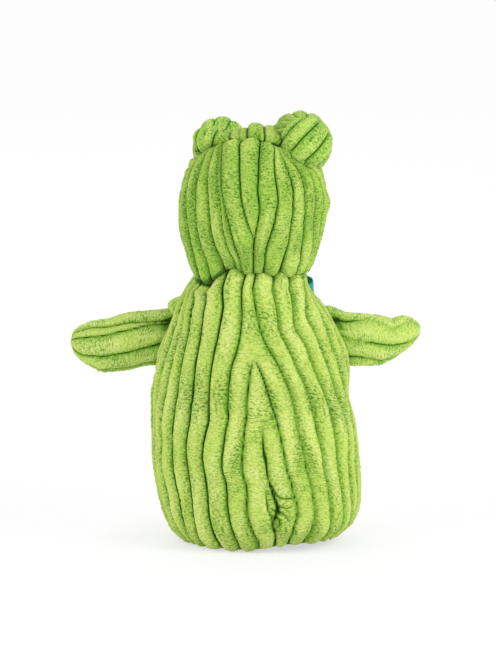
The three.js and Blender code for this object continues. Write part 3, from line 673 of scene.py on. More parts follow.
# Height and half width of the crests, from the gathered neck to the crown, in mm.
HEAD_PROFILE = [
    (159.5, 25.6), (159.6, 30.6), (160.1, 32.8), (161.6, 34.4), (164.4, 35.8), (168, 37.4), (173, 39), (180, 41.2),
    (189, 43.1), (199, 44), (206.5, 43.1), (213.5, 41), (220.5, 38.2), (227, 34.6), (233, 30), (238.5, 24.4),
    (243, 17.8), (246.4, 10.4), (248.1, 4), (248.3, 0.4),
]
HEAD_SIDE_SEAM = math.radians(96.9)
HEAD_DEPTH_SHARE = 0.93
HEAD_WALE_STEP = math.radians(13.8)
CROWN_WALE = 10.4 * MM
CROWN_FROM = 205 * MM
# Where the embroidery draws the face in.
MOUTH_HALF_TURN = math.radians(36)
MOUTH_HEIGHT = 178.9 * MM
MOUTH_RISE = 9 * MM
NOSTRIL_TURN = math.radians(8)
NOSTRIL_HEIGHT = 200.2 * MM
HEAD_SEAM = [(260, 140), (258.8, 160), (257.4, 192), (259.3, 204.5), (259.8, 213), (256.7, 228), (254.8, 240),
             (253.5, 262), (253, 280)]
HEAD_LEFT_GROOVES = [
    [(239.5, 143), (239.2, 160), (239.8, 186.5), (240.8, 202), (245, 218), (250.3, 232), (254.6, 241), (259, 256),
     (263, 276)],
    [(222, 145), (220.2, 160), (220.2, 178), (220.7, 194), (223.3, 204.5), (225, 215), (228, 228), (233, 245),
     (237.6, 259.5), (242, 272)],
    [(219.6, 147), (217.6, 162), (217, 180), (218, 198), (219.5, 206), (220.7, 219), (222.8, 234), (227, 251),
     (231.3, 262), (236, 272)],
    [(215, 148), (210, 160), (207.5, 174), (207.5, 195), (208.5, 215), (210, 234), (214.3, 250), (219.6, 262),
     (223, 273)],
    [(211, 149), (201.6, 162), (198.5, 173), (194.8, 187.5), (194.8, 202), (195.8, 219), (197.4, 238), (200.6, 253),
     (206, 264), (211, 273)],
    [(207, 151), (196, 163), (190, 173), (185.8, 187.5), (184.7, 206.6), (185.8, 223.5), (189, 240.5), (191.6, 255),
     (198, 270)],
]
HEAD_RIGHT_GROOVES = [
    [(273.7, 146), (274.2, 160), (275.2, 176), (277.9, 192), (278.9, 202), (276.3, 215), (274.7, 225.6), (270.5, 238),
     (266.2, 251), (264.6, 262), (265.7, 273)],
    [(280, 152), (286.3, 168), (291, 178), (293.7, 188), (293.9, 204.5), (292.2, 223.5), (289.5, 245), (284.2, 266),
     (282, 274)],
    [(284, 155), (297, 168), (303, 180), (304.6, 190), (305.9, 204.5), (305.9, 223.5), (304.3, 245), (302.2, 261.6),
     (298, 275)],
    [(288, 157), (306, 168), (312, 178), (315.6, 192), (315.4, 215), (315, 229), (314, 250), (308.6, 268)],
    [(292, 159), (314, 172), (320, 182), (325, 197), (324, 212), (322, 226), (319.5, 246), (314, 262)],
]

head_line = smooth_through(HEAD_PROFILE, HEAD_ROWS) * MM
head_heights, head_radii = head_line.T
head_half_width = lambda z: np.interp(z, head_heights, head_radii)
head_depth_share = lambda z: 1 - (1 - HEAD_DEPTH_SHARE) * ease(z, 160 * MM, 190 * MM)
head_half_depth = lambda z: head_half_width(z) * head_depth_share(z)
head_middle = lambda z: 1.3 * MM * (1 - ease(z, 178 * MM, 206 * MM))
turns = -np.pi + 2 * np.pi * (np.arange(HEAD_COLUMNS) + 0.5) / HEAD_COLUMNS
head_form = (head_heights, head_half_width, head_half_depth, head_middle, 169 * MM, 244 * MM)
head_seam_turn = groove_turn(HEAD_SEAM, *head_form)
left_turns = [groove_turn(groove, *head_form) for groove in HEAD_LEFT_GROOVES]
right_turns = [groove_turn(groove, *head_form) for groove in HEAD_RIGHT_GROOVES]

z = head_heights[:, None] + 0 * turns[None, :]
base = turned_form(head_middle(z), head_radii[:, None], head_depth_share(z), z + neck_slope(z, turns), turns)
side_y = head_half_depth(z) * math.cos(HEAD_SIDE_SEAM)
seam_y = np.where(z > CROWN_FROM, -5 * MM + (z - CROWN_FROM) * (25 / 35.5), side_y)
# The wales in the middle and on the left of the back reach further over the crown than the rest.
tall = ease(base[..., 0], -5 * MM, -2 * MM) * ease(z, 210 * MM, 226 * MM)
seam_y = seam_y - (4.2 + 3 * ease(base[..., 0], 7 * MM, 11 * MM)) * MM * tall
from_crown = (base[..., 1] - seam_y) * np.where(z > CROWN_FROM, 0.82, 1)
marks = right_turns[::-1] + [head_seam_turn, np.maximum(left_turns[0], head_seam_turn + 1e-3)] + left_turns[1:]
back = wale_form(turns, marks, head_radii, HEAD_WALE_STEP)
over_crown = ease(z, 214 * MM, 240 * MM)
front_turn = np.where(turns > 0, turns - np.pi, turns + np.pi)[None, :] + 0 * z
front_count = (1 - over_crown) * front_turn / HEAD_WALE_STEP - over_crown * (base[..., 0] - 9.3 * MM) / CROWN_WALE + 0.5
front_width = (1 - over_crown) * head_radii[:, None] * HEAD_WALE_STEP + over_crown * CROWN_WALE
front_crest = wale_height(front_count)
on_back = from_crown > 0
crest = np.where(on_back, back[0], front_crest)
relief = np.where(on_back, back[1], (front_crest - 1) * np.clip(0.3 * front_width, 0.3 * MM, GROOVE_DEPTH))
count = np.where(on_back, back[2], front_count + 0.5)
from_back_seam = head_radii[:, None] * np.abs(turns - head_seam_turn[:, None])
normals = surface_normals(base)
relief -= 2.6 * MM * near(from_crown, 1.7 * MM)
relief += 0.6 * MM * crest * mottle(np.floor(count), z / (13 * MM), 14)
relief -= 0.6 * MM * on_back * near(from_back_seam, 1.2 * MM)
relief += 1.3 * MM * near(np.abs(from_crown) - 5 * MM, 3.4 * MM) * ease(z, CROWN_FROM, 232 * MM)
# The pile's pattern starts half a metre along, so that the head doesn't repeat the torso's.
along = lengths_along(head_line)[:, None] + 0 * z + 0.5
across = count * WALE
relief += pile_relief(across, along) * ease(crest, 0.1, 0.6)
swells = mottle(turns[None, :] * 2.2 + 0 * z + 9, z / (24 * MM), 12)
relief += 0.6 * MM * swells * ease(head_radii, 2 * MM, 12 * MM)[:, None]
# A fold of the face panel stands out a little on the right.
relief += 1.6 * MM * near(turns + math.radians(96), 0.16)[None, :] * near(z - 199 * MM, 5 * MM)
# The right eye rests against the face and presses its pile in.
relief -= 2 * MM * near(base[..., 0] + 23 * MM, 6.5 * MM) * near(z - 230 * MM, 5 * MM) * (base[..., 1] < 0)
share = front_turn / MOUTH_HALF_TURN
from_mouth = np.abs(z - MOUTH_HEIGHT - MOUTH_RISE * share**2)
pull = near(from_mouth, 2.6 * MM) * (1 - ease(np.abs(share), 1.0, 1.12)) * (base[..., 1] < 0)
aside = (np.abs(front_turn) - NOSTRIL_TURN) * head_radii[:, None]
pull = np.maximum(pull, near(aside, 3.2 * MM) * near(z - NOSTRIL_HEIGHT, 3 * MM))
relief = relief * (1 - pull) - 1.9 * MM * pull
relief *= 1 - 0.7 * (1 - ease(z, 159.5 * MM, 160.6 * MM))
outer = base + normals * relief[..., None]
gather = 1 - ease(z, 160.3 * MM, 174 * MM)
close = 1.1 + 0.9 * np.exp(-((turns / math.radians(12)) ** 4))
outer[..., 2] += (neck_wave(turns)[None, :] - close * MM + 1.7 * MM * (1 - crest)) * gather
# The crown settles, most on its left.
settled = (1 + 2.2 * ease(base[..., 0], 1 * MM, 8 * MM)) * MM * ease(z, 236 * MM, 247 * MM)
outer[..., 2] -= settled
inner_rows = np.linspace(0, HEAD_ROWS - 1, 12).astype(int)
inner = base[inner_rows] - normals[inner_rows] * (COVER_THICKNESS + 0.4 * MM)
inner[..., 2] -= settled[inner_rows]
inner[-1, :, 2] = inner[-1, :, 2].mean()
# Painted shade darkens the neck crease, most on its left, the lower left of the back and the crown seam.
crease_shade = (0.3 + 0.4 * ease(turns, 0.35, 0.6) * (1 - ease(turns, 1.2, 1.5)))[None, :]
shaded = crease_shade * (1 - ease(z, 160.6 * MM, 164.5 * MM))
shaded = np.maximum(shaded, 0.2 * ease(turns, 0.3, 0.7)[None, :] * on_back * (1 - ease(z, 176 * MM, 196 * MM)))
crest_with_painted_shade = np.maximum(groove_shade_sharpened(crest, 0.5), 0.6 * pull) * (1 - shaded) * ease(np.abs(from_crown), 0, 1.5 * MM)
cloth = np.stack([across, along], axis=-1)
head_cover = rings_mesh("head_cover", [*outer[::-1], *inner], cloth[::-1], crest_with_painted_shade[::-1])
# A copy of the torso's plush with more parted pile and darker colours: painted shade on the head.
ruffled_shaded_plush = corduroy_plush(
    "ruffled_lime_corduroy_plush_painted_darker", 0.10, "#dae88c", "#cade72", "#a8cd52", "#76ab2f", "#3d751a", "#1e400c"
)
head_cover.data.materials.append(ruffled_shaded_plush)
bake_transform(head_cover)
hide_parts("head_back_left_panel", "head_back_right_panel", "face_panel")

# ---------------------------------------------------------------------------
# Stuffing
# Loose polyester fibre, teased apart and pushed in through the closing seam:
# one wad each for the torso, the neck and the head.
# ---------------------------------------------------------------------------
WAD_GAP = 5.6 * MM
WAD_COLUMNS = 72


def fibrous(name, grain, dark, pale, lift, finish):
    """A mass of fine fibres: darker between them and paler on them, each standing up a little."""
    made, tree = bare_material(name)
    place = add_node(tree, "ShaderNodeTexCoord")
    fibres = add_node(tree, "ShaderNodeTexNoise", {"Vector": place.outputs["Object"], **grain})
    tone = add_node(tree, "ShaderNodeValToRGB", {0: fibres.outputs[0]})
    tone.color_ramp.elements[0].color = linear(dark)
    tone.color_ramp.elements[1].color = linear(pale)
    bump = add_node(tree, "ShaderNodeBump", {"Strength": lift[0], "Distance": lift[1], "Height": fibres.outputs[0]})
    surface = {"Base Color": tone.outputs[0], "Normal": bump.outputs[0], **finish}
    shade = add_node(tree, "ShaderNodeBsdfPrincipled", surface)
    add_node(tree, "ShaderNodeOutputMaterial", {"Surface": shade.outputs[0]})
    return made


# Polyester fibrefill: white crimped fibre in tangles about 4 mm wide, matt with a faint bloom.
tangle = {"Scale": 260, "Detail": 6, "Roughness": 0.7, "Distortion": 2.5}
bloom = {"Roughness": 0.95, "Sheen Weight": 0.3}
fibre = fibrous("polyester_fibrefill", tangle, "#cfcdc2", "#f6f4ee", (0.7, 1.2 * MM), bloom)


def wad(name, heights, radii, depths, middle, seed):
    """A lumpy wad of fibre turned about the upright line."""
    around = 2 * np.pi * np.arange(WAD_COLUMNS) / WAD_COLUMNS
    lumps = mottle(np.sin(around)[None, :] * 2.2 + 5, heights[:, None] / (9 * MM) + np.cos(around) * 2, seed)
    radii, depths, middle, heights = (line[:, None] for line in (radii, depths, middle, heights))
    made = rings_mesh(name, turned_form(middle, radii * (1 - 0.035 * (1 + lumps)), depths, heights, around))
    made.data.materials.append(fibre)
    return made


def dome(low, high, count):
    """Shares of a radius and of a height from a flattened foot to a flattened top."""
    t = np.linspace(0.03, 0.97, count)
    return low + (high - low) * (1 - np.cos(np.pi * t)) / 2, np.minimum(1, np.sin(np.pi * t) * 1.9)


heights, rounding = dome(4.6 * MM, 150.5 * MM, 46)
radii = (torso_half_width(np.maximum(heights, 3 * MM)) - WAD_GAP) * rounding
torso_wad = wad("torso_wad", heights, radii, depth_share(heights), torso_middle(heights), 21)
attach(torso_wad, "torso")
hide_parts("torso_stuffing")
heights, rounding = dome(151.5 * MM, 173.6 * MM, 22)
radii = (18 * MM + np.abs(heights - 159.5 * MM) * 0.4) * rounding
neck_wad = wad("neck_wad", heights, radii, 1 + 0 * heights, 0 * heights, 22)
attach(neck_wad, "neck")
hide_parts("neck_stuffing")
heights, rounding = dome(177 * MM, 236 * MM, 34)
room_above = head_half_width(heights + 8 * MM * ease(heights, 200 * MM, 222 * MM))
radii = np.maximum(room_above - WAD_GAP, 2 * MM) * rounding
head_wad = wad("head_wad", heights, radii, head_depth_share(heights), head_middle(heights), 23)
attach(head_wad, "head")
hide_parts("head_stuffing")

# ---------------------------------------------------------------------------
# Base panel
# An oval of the same plush, sewn into the foot of the torso. The frog sits on
# it, so its wales are pressed almost flat.
# ---------------------------------------------------------------------------
BASE_HALF_WIDTH = 40.4 * MM
BASE_COLUMNS = 200
base_shift = torso_middle(2 * MM)
around = 2 * np.pi * np.arange(BASE_COLUMNS) / BASE_COLUMNS
spread = np.concatenate([np.linspace(0.03, 0.96, 60), [0.985, 1.0, 1.0, 0.985, 0.95], np.linspace(0.9, 0.05, 8)])
level = np.concatenate([np.full(60, 0.7), [0.8, 1.1, 3.0, 3.6, 3.9], np.full(8, 4.0)]) * MM
points = turned_form(base_shift, BASE_HALF_WIDTH * spread[:, None], depth_share(0), level[:, None], around)
across = points[..., 0] - base_shift
under = (np.arange(len(spread)) < 60)[:, None]
crest = np.where(under, wale_height(across / WALE), 0.6)
tufts = pile_relief(across, points[..., 1] + 1.0)
points[..., 2] += np.where(under, (1 - crest) * 1.3 * MM - 0.5 * tufts, 0)
points[..., 2] += foot_lift(points[..., 0]) * ease(spread, 0.45, 0.95)[:, None]
points[..., 2] = np.maximum(points[..., 2], 0.3 * MM)
base_cover = rings_mesh("base_cover", points, np.stack([across, points[..., 1]], axis=-1), crest)
base_cover.data.materials.append(brushed_plush)
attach(base_cover, "torso")
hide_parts("base_panel")

# ---------------------------------------------------------------------------
# Mouth and nostrils
# Satin stitch in dark green thread, worked through the pile of the face panel
# so that it pulls the cloth in: a wide flat curve and two small ovals.
# ---------------------------------------------------------------------------
STITCH_WIDTH = 1.1 * MM
MOUTH_STITCHES = 78
NOSTRIL_STITCHES = 6
# Rayon embroidery thread: smooth filaments about 0.5 mm apart that shine along each stitch.
strands = {"Scale": 1800, "Detail": 2, "Roughness": 0.6}
lustre = {"Roughness": 0.42, "Specular IOR Level": 0.4}
thread = fibrous("rayon_thread", strands, "#1d3d10", "#3f6f24", (0.4, 0.2 * MM), lustre)


def face_point(turn, height, lift):
    """A point and its outward direction on the head's form."""
    half = np.interp(height, head_heights[20:], head_radii[20:])
    share = head_depth_share(np.array(height))
    point = np.array([head_middle(height) + half * math.sin(turn), half * share * math.cos(turn), height])
    slope = (np.interp(height + MM, head_heights[20:], head_radii[20:]) - half) / MM
    outward = np.array([math.sin(turn), math.cos(turn) / share, -slope])
    outward /= np.linalg.norm(outward)
    return point + outward * lift, outward


# One stitch, along its own z and facing its own y: round, arched, and sunk in the pile at both ends.
bpy.ops.object.select_all(action="DESELECT")
bpy.ops.mesh.primitive_uv_sphere_add(segments=8, ring_count=10, radius=1)
stitch = bpy.context.object
for corner in stitch.data.vertices:
    corner.co.y -= 0.5 + 0.8 * corner.co.z**2
stitch.data.shade_smooth()


def stitches(name, places):
    """Copies of the stitch, joined. Each place is the middle, the outward direction, the lie and the length."""
    bpy.ops.object.select_all(action="DESELECT")
    for middle, outward, lie, length in places:
        lie = lie - outward * np.dot(lie, outward)
        lie /= np.linalg.norm(lie)
        side = np.cross(outward, lie)
        copy = scene_object(name, stitch.data.copy())
        axes = np.column_stack([side * STITCH_WIDTH / 2, outward * STITCH_WIDTH / 2, lie * length / 2, middle])
        copy.data.transform(Matrix([*axes.tolist(), (0, 0, 0, 1)]))
        copy.select_set(True)
        bpy.context.view_layer.objects.active = copy
    bpy.ops.object.join()
    made = bpy.context.object
    made.name = made.data.name = name
    made.select_set(False)
    made.data.materials.append(thread)
    return made


places = []
for share in np.linspace(-1, 1, MOUTH_STITCHES):
    (point, outward), (ahead, _) = [
        face_point(math.pi + s * MOUTH_HALF_TURN, MOUTH_HEIGHT + MOUTH_RISE * s**2, -0.9 * MM)
        for s in (share, share + 0.01)
    ]
    run = (ahead - point) / np.linalg.norm(ahead - point)
    places.append((point, outward, np.cross(outward, run) + 0.35 * run, (3.3 - 0.9 * share**8) * MM))
mouth = stitches("mouth", places)
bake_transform(mouth)
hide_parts("mouth_stitching")
for side, sign in (("left", 1), ("right", -1)):
    places = []
    for i in range(NOSTRIL_STITCHES):
        drop = (i - (NOSTRIL_STITCHES - 1) / 2) * 0.72 * MM
        point, outward = face_point(math.pi - sign * NOSTRIL_TURN, NOSTRIL_HEIGHT + drop, -0.7 * MM)
        wide = 4.6 * MM * math.sqrt(1 - (drop / (2.6 * MM)) ** 2)
        places.append((point, outward, np.array([1, 0, 0.15 * sign]), wide))
    nostril = stitches(f"{side}_nostril_stitching", places)
    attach(nostril, "head")
    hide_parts(f"{side}_nostril")
bpy.data.objects.remove(stitch)

# ---------------------------------------------------------------------------
# Eye mounds
# Two stuffed drums on the crown. A round piece is gathered over each front and
# a disc, cut on the bias, closes the back. The left one has flopped outwards.
# ---------------------------------------------------------------------------
MOUND_ROWS = 84
MOUND_COLUMNS = 168
UP = np.array([0, 0, 1])
# Distance along a mound's axis, from its face to its back, and radius there, in mm.
MOUND_FRONT = [(-21.4, 0.6), (-21.3, 5), (-20.8, 10), (-19.4, 14.2), (-16.4, 17.2), (-12, 18.6), (-4, 18.9),
               (1.5, 18.1), (5, 16.4), (6.6, 14.4), (6.9, 12.2)]
MOUND_BACK = [(7.1, 12), (7.3, 13.8), (8.8, 15.4), (12, 15.9), (15.6, 14.9), (18.6, 12.2), (20.5, 8), (21.3, 3.6),
              (21.4, 0.6)]
MOUND_WAD = [(-16, 0.5), (-15, 8), (-11, 12), (-2, 12.6), (3, 10), (7, 6.6), (12, 8.4), (15, 6.4), (16.4, 0.5)]
# Each mound: its middle in mm and its turn in degrees, its bends, where the wales of its front begin, and the lie in
# degrees, the offset and the spacing in mm of the wales on its back disc. A bend is a distance along the axis, the
# shift to the left and up there in mm, and how far the mound spreads sideways and upwards.
MOUNDS = {
    "left": (
        ((23.0, -8.9, 233.2), -14),
        [(-22, 0, 0, 0.95, 0.95), (-16, 0, -1.2, 0.88, 0.88), (-8, 0, -4.6, 0.8, 0.74), (0, -0.6, -4.6, 0.72, 0.7),
         (7, -0.2, -0.6, 0.68, 0.62), (12, 0.4, 4.6, 0.6, 0.52), (22, 0.4, 7.2, 0.54, 0.44)],
        0.62,
        (14, 9.0, 20.5),
    ),
    "right": (
        ((-27.9, 1.8, 235.8), 4),
        [(-22, 0, 0, 1, 1), (-8, 0.4, -1.8, 0.98, 0.95), (2, 0.4, -1.4, 0.97, 0.95), (8, -1.4, 1.2, 0.96, 0.97),
         (22, -2.2, 2.4, 0.94, 0.99)],
        0.5,
        (45, 6.3, 10.7),
    ),
}


def mound_frame(middle, turn):
    """Axis to the back, sideways to the left of the photograph, and the middle of a mound."""
    turn = math.radians(turn)
    axis = np.array([-math.sin(turn), math.cos(turn), 0])
    return axis, np.cross(axis, UP), np.array(middle) * MM


def mound_rings(line, frame, bends, around, lump=1):
    """Rings along a mound's axis, bent and spread as the mound slumps, and how far each ring spreads."""
    axis, sideways, centre = frame
    bends = np.array(bends, float).T
    shift_u, shift_v, spread_u, spread_v = [np.interp(line[:, 0], bends[0], row)[:, None] for row in bends[1:]]
    u = (shift_u + line[:, 1:] * spread_u * np.cos(around)) * MM * lump
    v = (shift_v + line[:, 1:] * spread_v * np.sin(around)) * MM * lump
    rings = centre + axis * (line[:, 0] * MM)[:, None, None] + sideways * u[..., None] + UP * v[..., None]
    return rings, (spread_u + spread_v) / 2


# A copy of the torso's plush with more parted pile and its own tones, set for how light falls on the mounds: painted
# light and shade.
mound_retoned_plush = corduroy_plush(
    "mound_lime_corduroy_plush_painted_tones", 0.10, "#e4f09c", "#d8ea84", "#b8da62", "#84ba38", "#47851f", "#1e400c"
)

for side, (place, bends, front_start, (lie, offset, pitch)) in MOUNDS.items():
    frame_here = mound_frame(*place)
    around = 2 * np.pi * np.arange(MOUND_COLUMNS) / MOUND_COLUMNS
    radial = frame_here[1] * np.cos(around)[:, None] + UP * np.sin(around)[:, None]
    for part, profile, depth, seed in (("front", MOUND_FRONT, 2.3 * MM, 31), ("back", MOUND_BACK, 3.0 * MM, 33)):
        is_front = part == "front"
        line = smooth_through(profile, MOUND_ROWS)
        reach = lengths_along(line)[:, None] * MM
        base, shrink = mound_rings(line, frame_here, bends, around)
        normals = surface_normals(base)
        if np.einsum("ijk,ijk->", normals, base - frame_here[2]) < 0:
            normals = -normals
        if is_front:
            across, along = reach * np.cos(around), reach * np.sin(around)
            phase = across * shrink / WALE + front_start
            seam_gap = (line[-1, 0] - line[:, :1]) * MM
        else:
            reach, laid = reach[-1] - reach, around - math.radians(lie)
            across, along = reach * np.cos(laid), reach * np.sin(laid)
            phase = (across + offset * MM) / (pitch * MM)
            seam_gap = (line[:, :1] - line[0, 0]) * MM
        crest = wale_height(phase)
        relief = (crest - 1) * depth * ease(seam_gap, -1 * MM, 2.5 * MM)
        puckers = mottle(around[None, :] * 3.4 + 0 * seam_gap, seam_gap / (4 * MM), seed)
        relief += 0.9 * MM * puckers * np.exp(-seam_gap / (4 * MM))
        relief += pile_relief(across + seed, along) * ease(crest, 0.1, 0.6)
        relief *= shrink * ease(seam_gap, 0, 0.5 * MM)
        drawn_in = 2.4 * MM * shrink * near(seam_gap, 1.6 * MM)
        outer = base + normals * relief[..., None] - radial * drawn_in[..., None]
        # Both shells run from the middle of the cloth to its seam and back inside it.
        to_seam = slice(None, None, 1 if is_front else -1)
        inner_rows = np.linspace(0, MOUND_ROWS - 1, 10)[:: -1 if is_front else 1].astype(int)
        cloth = np.stack([across * shrink, along * shrink], axis=-1)
        # Painted shade darkens the cloth at the seam.
        crest_with_painted_shade = crest * ease(seam_gap + 0 * crest, 0, 1.5 * MM)
        shell = [*outer[to_seam], *(base - normals * COVER_THICKNESS)[inner_rows]]
        cover = rings_mesh(f"{side}_mound_{part}_cover", shell, cloth[to_seam], crest_with_painted_shade[to_seam])
        cover.data.materials.append(mound_retoned_plush)
        if is_front:
            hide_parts(f"{side}_mound_front_panel")
        else:
            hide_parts(f"{side}_mound_back_disc")
        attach(cover, f"{side}_mound")
    line = smooth_through(MOUND_WAD, 30)
    around = 2 * np.pi * np.arange(56) / 56
    lump = 1 + 0.03 * mottle(around[None, :] * 2 + 0 * line[:, :1], line[:, :1] / 5 + 0 * around, 35)
    wadding = rings_mesh(f"{side}_mound_wad", mound_rings(line, frame_here, bends, around, lump)[0])
    wadding.data.materials.append(fibre)
    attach(wadding, f"{side}_mound")
    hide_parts(f"{side}_mound_stuffing")

# ---------------------------------------------------------------------------
# Eyes
# A disc of white wool felt, a polished black safety button with a shank, and
# the locking washer that grips the shank inside the mound.
# ---------------------------------------------------------------------------
# Radius and distance along the eye's axis, outwards from its seat, in mm.
FELT_PROFILE = [
    (0, -0.6), (3, -0.65), (6.2, -0.5), (6.75, -0.2), (6.85, 0.15), (6.6, 0.5), (5.9, 0.65), (3, 0.6), (0, 0.55),
]
BUTTON_PROFILE = [
    (0, -8), (1.5, -8), (1.8, -7.7), (1.8, 0.4), (4.6, 0.5), (5.15, 0.75), (5.3, 1.2), (5.1, 1.9), (4.5, 2.75),
    (3.4, 3.5), (2, 4), (0.8, 4.2), (0, 4.22),
]
WASHER_PROFILE = [
    (1.9, -0.3), (2.3, -0.7), (4.2, -0.7), (4.6, -0.4), (4.6, 0.4), (4.2, 0.7), (3.6, 0.35), (2.6, 0.35), (2.3, 0.7),
    (1.9, 0.3), (1.9, -0.3),
]


def moulded_plastic(name, colour, roughness, gloss):
    """Moulded plastic: an even colour, faint flow ripples 3 mm wide, and a polished or a plain mould finish."""
    made, tree = bare_material(name)
    place = add_node(tree, "ShaderNodeTexCoord")
    ripple = add_node(tree, "ShaderNodeTexNoise", {"Vector": place.outputs["Object"], "Scale": 320, "Detail": 3})
    limits = {"Value": ripple.outputs[0], "To Min": roughness, "To Max": roughness * 1.5}
    wear = add_node(tree, "ShaderNodeMapRange", limits)
    lift = add_node(tree, "ShaderNodeBump", {"Strength": 0.08, "Distance": 0.1 * MM, "Height": ripple.outputs[0]})
    surface = {"Base Color": linear(colour), "Specular IOR Level": gloss, "Normal": lift.outputs[0]}
    shade = add_node(tree, "ShaderNodeBsdfPrincipled", {"Roughness": wear.outputs[0], **surface})
    add_node(tree, "ShaderNodeOutputMaterial", {"Surface": shade.outputs[0]})
    return made


# The button is ABS polished in the mould, dark and glossy. The washer is plain nylon, white and dull.
black_button = moulded_plastic("polished_black_abs", "#0c0d10", 0.07, 0.36)
white_washer = moulded_plastic("white_nylon", "#e8e8e4", 0.45, 0.5)
# Pressed wool felt: matt off-white, with short fibres about 1 mm long lying every way.
short_fibres = {"Scale": 1100, "Detail": 5, "Roughness": 0.7, "Distortion": 3}
matt_wool = {"Roughness": 0.95, "Sheen Weight": 0.35}
felt = fibrous("white_wool_felt", short_fibres, "#dcd8cb", "#faf8f0", (0.6, 0.3 * MM), matt_wool)


def turned(name, profile, centre, axis, segments=64):
    """Spins a profile of radius and distance, in mm, about the axis of an eye."""
    bpy.ops.object.select_all(action="DESELECT")
    mesh = bpy.data.meshes.new(name)
    mesh.from_pydata([(r * MM, 0, t * MM) for r, t in profile], [(i, i + 1) for i in range(len(profile) - 1)], [])
    made = scene_object(name, mesh)
    made.select_set(True)
    bpy.context.view_layer.objects.active = made
    bpy.ops.object.mode_set(mode="EDIT")
    bpy.ops.mesh.select_all(action="SELECT")
    bpy.ops.mesh.spin(steps=segments, angle=2 * math.pi, center=(0, 0, 0), axis=(0, 0, 1))
    bpy.ops.mesh.select_all(action="SELECT")
    bpy.ops.mesh.remove_doubles(threshold=0.01 * MM)
    bpy.ops.mesh.normals_make_consistent(inside=False)
    bpy.ops.object.mode_set(mode="OBJECT")
    mesh.shade_smooth()
    turn = Vector(axis).to_track_quat("Z", "X").to_matrix().to_4x4()
    mesh.transform(Matrix.Translation(Vector(centre)) @ turn)
    made.select_set(False)
    return made


for side, (place, *_) in MOUNDS.items():
    axis = mound_frame(*place)[0]
    low, high = (Vector(corner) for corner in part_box(f"{side}_eye_felt"))
    seat = (low + high) / 2 + Vector(axis) * 0.4 * MM
    disc = turned(f"{side}_felt_disc", FELT_PROFILE, seat, -axis)
    # The felt is cut by hand, so its edge isn't quite round.
    co = np.empty(len(disc.data.vertices) * 3, np.float32)
    disc.data.vertices.foreach_get("co", co)
    co = co.reshape(-1, 3)
    away = co - np.array(seat)
    ragged = 1 + 0.018 * mottle(np.arctan2(away[:, 2], away[:, 0]) * 9, away[:, 1] * 0, 51)
    disc.data.vertices.foreach_set("co", (np.array(seat) + away * ragged[:, None]).astype(np.float32).ravel())
    disc.data.materials.append(felt)
    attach(disc, f"{side}_mound")
    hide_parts(f"{side}_eye_felt")
    button = turned(f"{side}_eye_button_moulded", BUTTON_PROFILE, seat, -axis)
    button.data.materials.append(black_button)
    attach(button, f"{side}_mound")
    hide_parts(f"{side}_eye_button")
    low, high = (Vector(corner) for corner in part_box(f"{side}_eye_washer"))
    washer = turned(f"{side}_locking_washer", WASHER_PROFILE, (low + high) / 2, -axis, 48)
    washer.data.materials.append(white_washer)
    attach(washer, f"{side}_mound")
    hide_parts(f"{side}_eye_washer")

# ---------------------------------------------------------------------------
# Arms
# Each is two lengths of plush, bagged out, stuffed lightly and sewn into the
# side seam, so its root is flat and puckered. The wales run along the arm.
# ---------------------------------------------------------------------------
ARM_ROWS = 150
ARM_COLUMNS = 150
ARM_HALF_THICKNESS = 8.6 * MM
ARM_ROOT_SINK = 3.5 * MM
# Column, top row and bottom row of the photograph, from the root to the tip.
ARM_OUTLINES = {
    "left": [(172, 306, 366), (158, 307.4, 366.2), (147, 309.2, 367), (130.5, 311.4, 370), (121, 312.8, 371.6),
             (108, 316.2, 373), (99, 318, 372.6), (91, 320, 368.6), (83.3, 324, 364), (77, 327.2, 358.2),
             (72.8, 332.4, 351), (70.6, 337.6, 345.6), (69.8, 341, 342.4)],
    "right": [(322, 304.6, 366), (330, 304, 366), (336.5, 306.6, 365.8), (343, 310.4, 365.6), (354, 312.4, 366),
              (366.3, 313.8, 367), (379.6, 315.8, 365), (388, 318, 361), (393.5, 318.6, 358.8), (399, 316.6, 355.6),
              (405.5, 316, 351.6), (412, 317.4, 347), (416.4, 319.8, 342.6), (419.6, 322.6, 338),
              (421.8, 325.6, 332.6)],
}
ARM_SWEEP = {"left": math.radians(10), "right": math.radians(28)}
# Share of the half thickness at each share of the length.
ARM_THICKNESS = [(0, 0.3), (0.06, 0.45), (0.14, 0.72), (0.33, 0.98), (0.6, 1), (0.8, 0.86), (0.92, 0.6), (0.98, 0.32),
                 (1, 0.12)]
# The arms are sewn in this far in front of the middle and sweep forwards from there.
ARM_ROOT_DEPTH = -12.7 * MM
# An arm is small and its cloth stiff for its size, so it takes a high pressure to swell by 1 or 2 mm.
ARM_PRESSURE = 8000
ARM_SWELL = 2.5 * MM
# Where the grooves cross the section at each share of the length, as a turn from the top over the back, in degrees.
ARM_GROOVES = {
    "left": [(0, 58, 62, 102, 156, 204, 250, 300, 350), (0.12, 56, 60, 103, 157, 204, 250, 300, 350),
             (0.27, 50, 54, 107, 158, 204, 250, 300, 350), (0.42, 46, 60, 109, 158, 204, 250, 300, 350),
             (0.6, 44, 62, 110, 158, 204, 250, 300, 350), (0.77, 40, 65, 113, 160, 205, 250, 300, 348),
             (0.95, 36, 67, 130, 166, 207, 250, 300, 346), (1, 36, 67, 134, 169, 208, 250, 300, 346)],
    "right": [(0, 64, 91, 134, 190, 243, 294, 348), (0.1, 59, 90, 133, 190, 243, 294, 347),
              (0.28, 40, 88, 131, 190, 243, 294, 342), (0.47, 27, 90, 132, 192, 243, 294, 336),
              (0.6, 34, 95, 147, 196, 244, 294, 338), (0.71, 53, 104, 162, 200, 245, 294, 344),
              (0.8, 48, 117, 172, 206, 248, 294, 342), (0.945, 31, 137, 182, 212, 250, 294, 336),
              (1, 28, 143, 186, 214, 252, 294, 334)],
}

